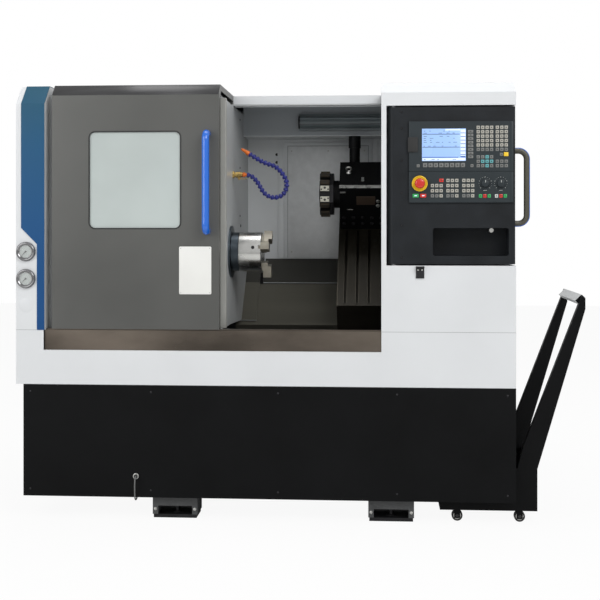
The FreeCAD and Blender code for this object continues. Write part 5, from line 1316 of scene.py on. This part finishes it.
def add_slat(bm, start, end, z, depth, paint):
    """One pressed slat: wide at the bottom and flush at the top, on a wall from start to end."""
    a, b = Vector((*start, 0)), Vector((*end, 0))
    run = (b - a).normalized()
    out = Vector((run.y, -run.x, 0)) * depth
    profile = ((-0.3, 0.0, 0), (1.0, 0.0, 1), (1.0, 2.2, 1), (-0.3, 15.0, 0))
    rings = [[bm.verts.new(spot(*(place + out * o + run * inset * k + Vector((0, 0, z + h)))))
              for o, h, k in profile] for place, inset in ((a, 3), (b, -3))]
    bridge_rings(bm, rings, paint)


def add_buttons(bm, places, way, paint):
    """Button-head screws at the given places."""
    for place in places:
        add_turned(bm, place, way, BUTTON_HEAD, paint, 18)


bm = bmesh.new()
for i in range(9):
    for x in (1380, 880):
        add_slat(bm, (x, REAR_FACE), (x - 260, REAR_FACE), 1000 + SLAT_PITCH * i, 7, 0)
add_buttons(bm, [(x, REAR_FACE, z) for x in (CABINET_LEFT + 14, CABINET_RIGHT - 14)
                 for z in (900, 1090, 1280, 1470, 1640)], TOWARDS_BACK, 1)
add_turned(bm, (530, REAR_FACE + 10, 1277), TOWARDS_BACK,
           [(0, 14), (2, 14), (3, 12), (5, 12), (5.2, 5), (4, 4.6), (4, 0.4)], 1, 28)
add_slab(bm, 508, 517, 1180, 1375, REAR_FACE - 1, REAR_FACE + 1.2, 4, 0.4, 2)
finish_piece("cabinet_trim", bm, [white_coat, zinc_steel, black_oxide], "cabinet_door")

bm = bmesh.new()
add_box(bm, (1600, CASE_BACK - 3.2, 900), (1900, CASE_BACK - 0.5, 1040), 1)
for x, sides in ((1650, 6), (1717, 28), (1784, 6), (1851, 28)):
    add_turned(bm, (x, CASE_BACK - 1, 970), TOWARDS_BACK,
               [(-0.5, 17), (4, 17), (4.5, 14), (12, 14), (13, 12), (17, 11), (17.2, 7), (12, 6.4),
                (12, 0.4)], 2, sides)
add_buttons(bm, [(x, CASE_BACK - 0.6, z) for z in (912, 1028) for x in (1612, 1888)],
            TOWARDS_BACK, 3)
add_buttons(bm, [(x, CASE_BACK - 3.0, z) for z in (1690, 860) for x in range(160, 2020, 310)],
            TOWARDS_BACK, 3)
for i in range(8):
    add_slat(bm, (CASE_RIGHT, 1180), (CASE_RIGHT, 1360), 900 + SLAT_PITCH * i, -7, 0)
    add_slat(bm, (0, 420), (0, 640), 620 + 17 * i, 6, 0)
for y in (60, 360, 700, 1040, 1360):
    for z in (585, 735):
        add_buttons(bm, [(CASE_RIGHT, y, z)], TO_THE_RIGHT, 3)
        add_buttons(bm, [(0, y, z)], (-1, 0, 0), 3)
finish_piece("casing_trim", bm, [white_coat, grey_plate, black_rubber, zinc_steel], "root")

# %% [markdown]
# ## Soft edges
#
# Casing sheets get the widest edges, the base and the inner castings less, and machined pieces only
# a small chamfer. Widths are in millimetres.

# %% Edge widths
EDGE_WIDTHS = {
    2.6: "left_cover front_band right_column roof rear_cabinet cabinet_door",
    2.2: "door_panel pendant_box turret_housing bed_casting",
    1.4: "base_skirt blue_panel splash_apron coolant_tank tank_handle work_lamp headstock saddle",
    0.9: "cross_slide turret_disc chuck_body jaw_1 jaw_2 jaw_3 operator_panel pendant_bracket "
         "spindle levelling_feet wheel_set_1 wheel_set_2",
}
for width, names in EDGE_WIDTHS.items():
    for node_name in names.split():
        soften_edges(NODES[node_name], mm(width), 2)
print("softened solids:", sum(len(names.split()) for names in EDGE_WIDTHS.values()))
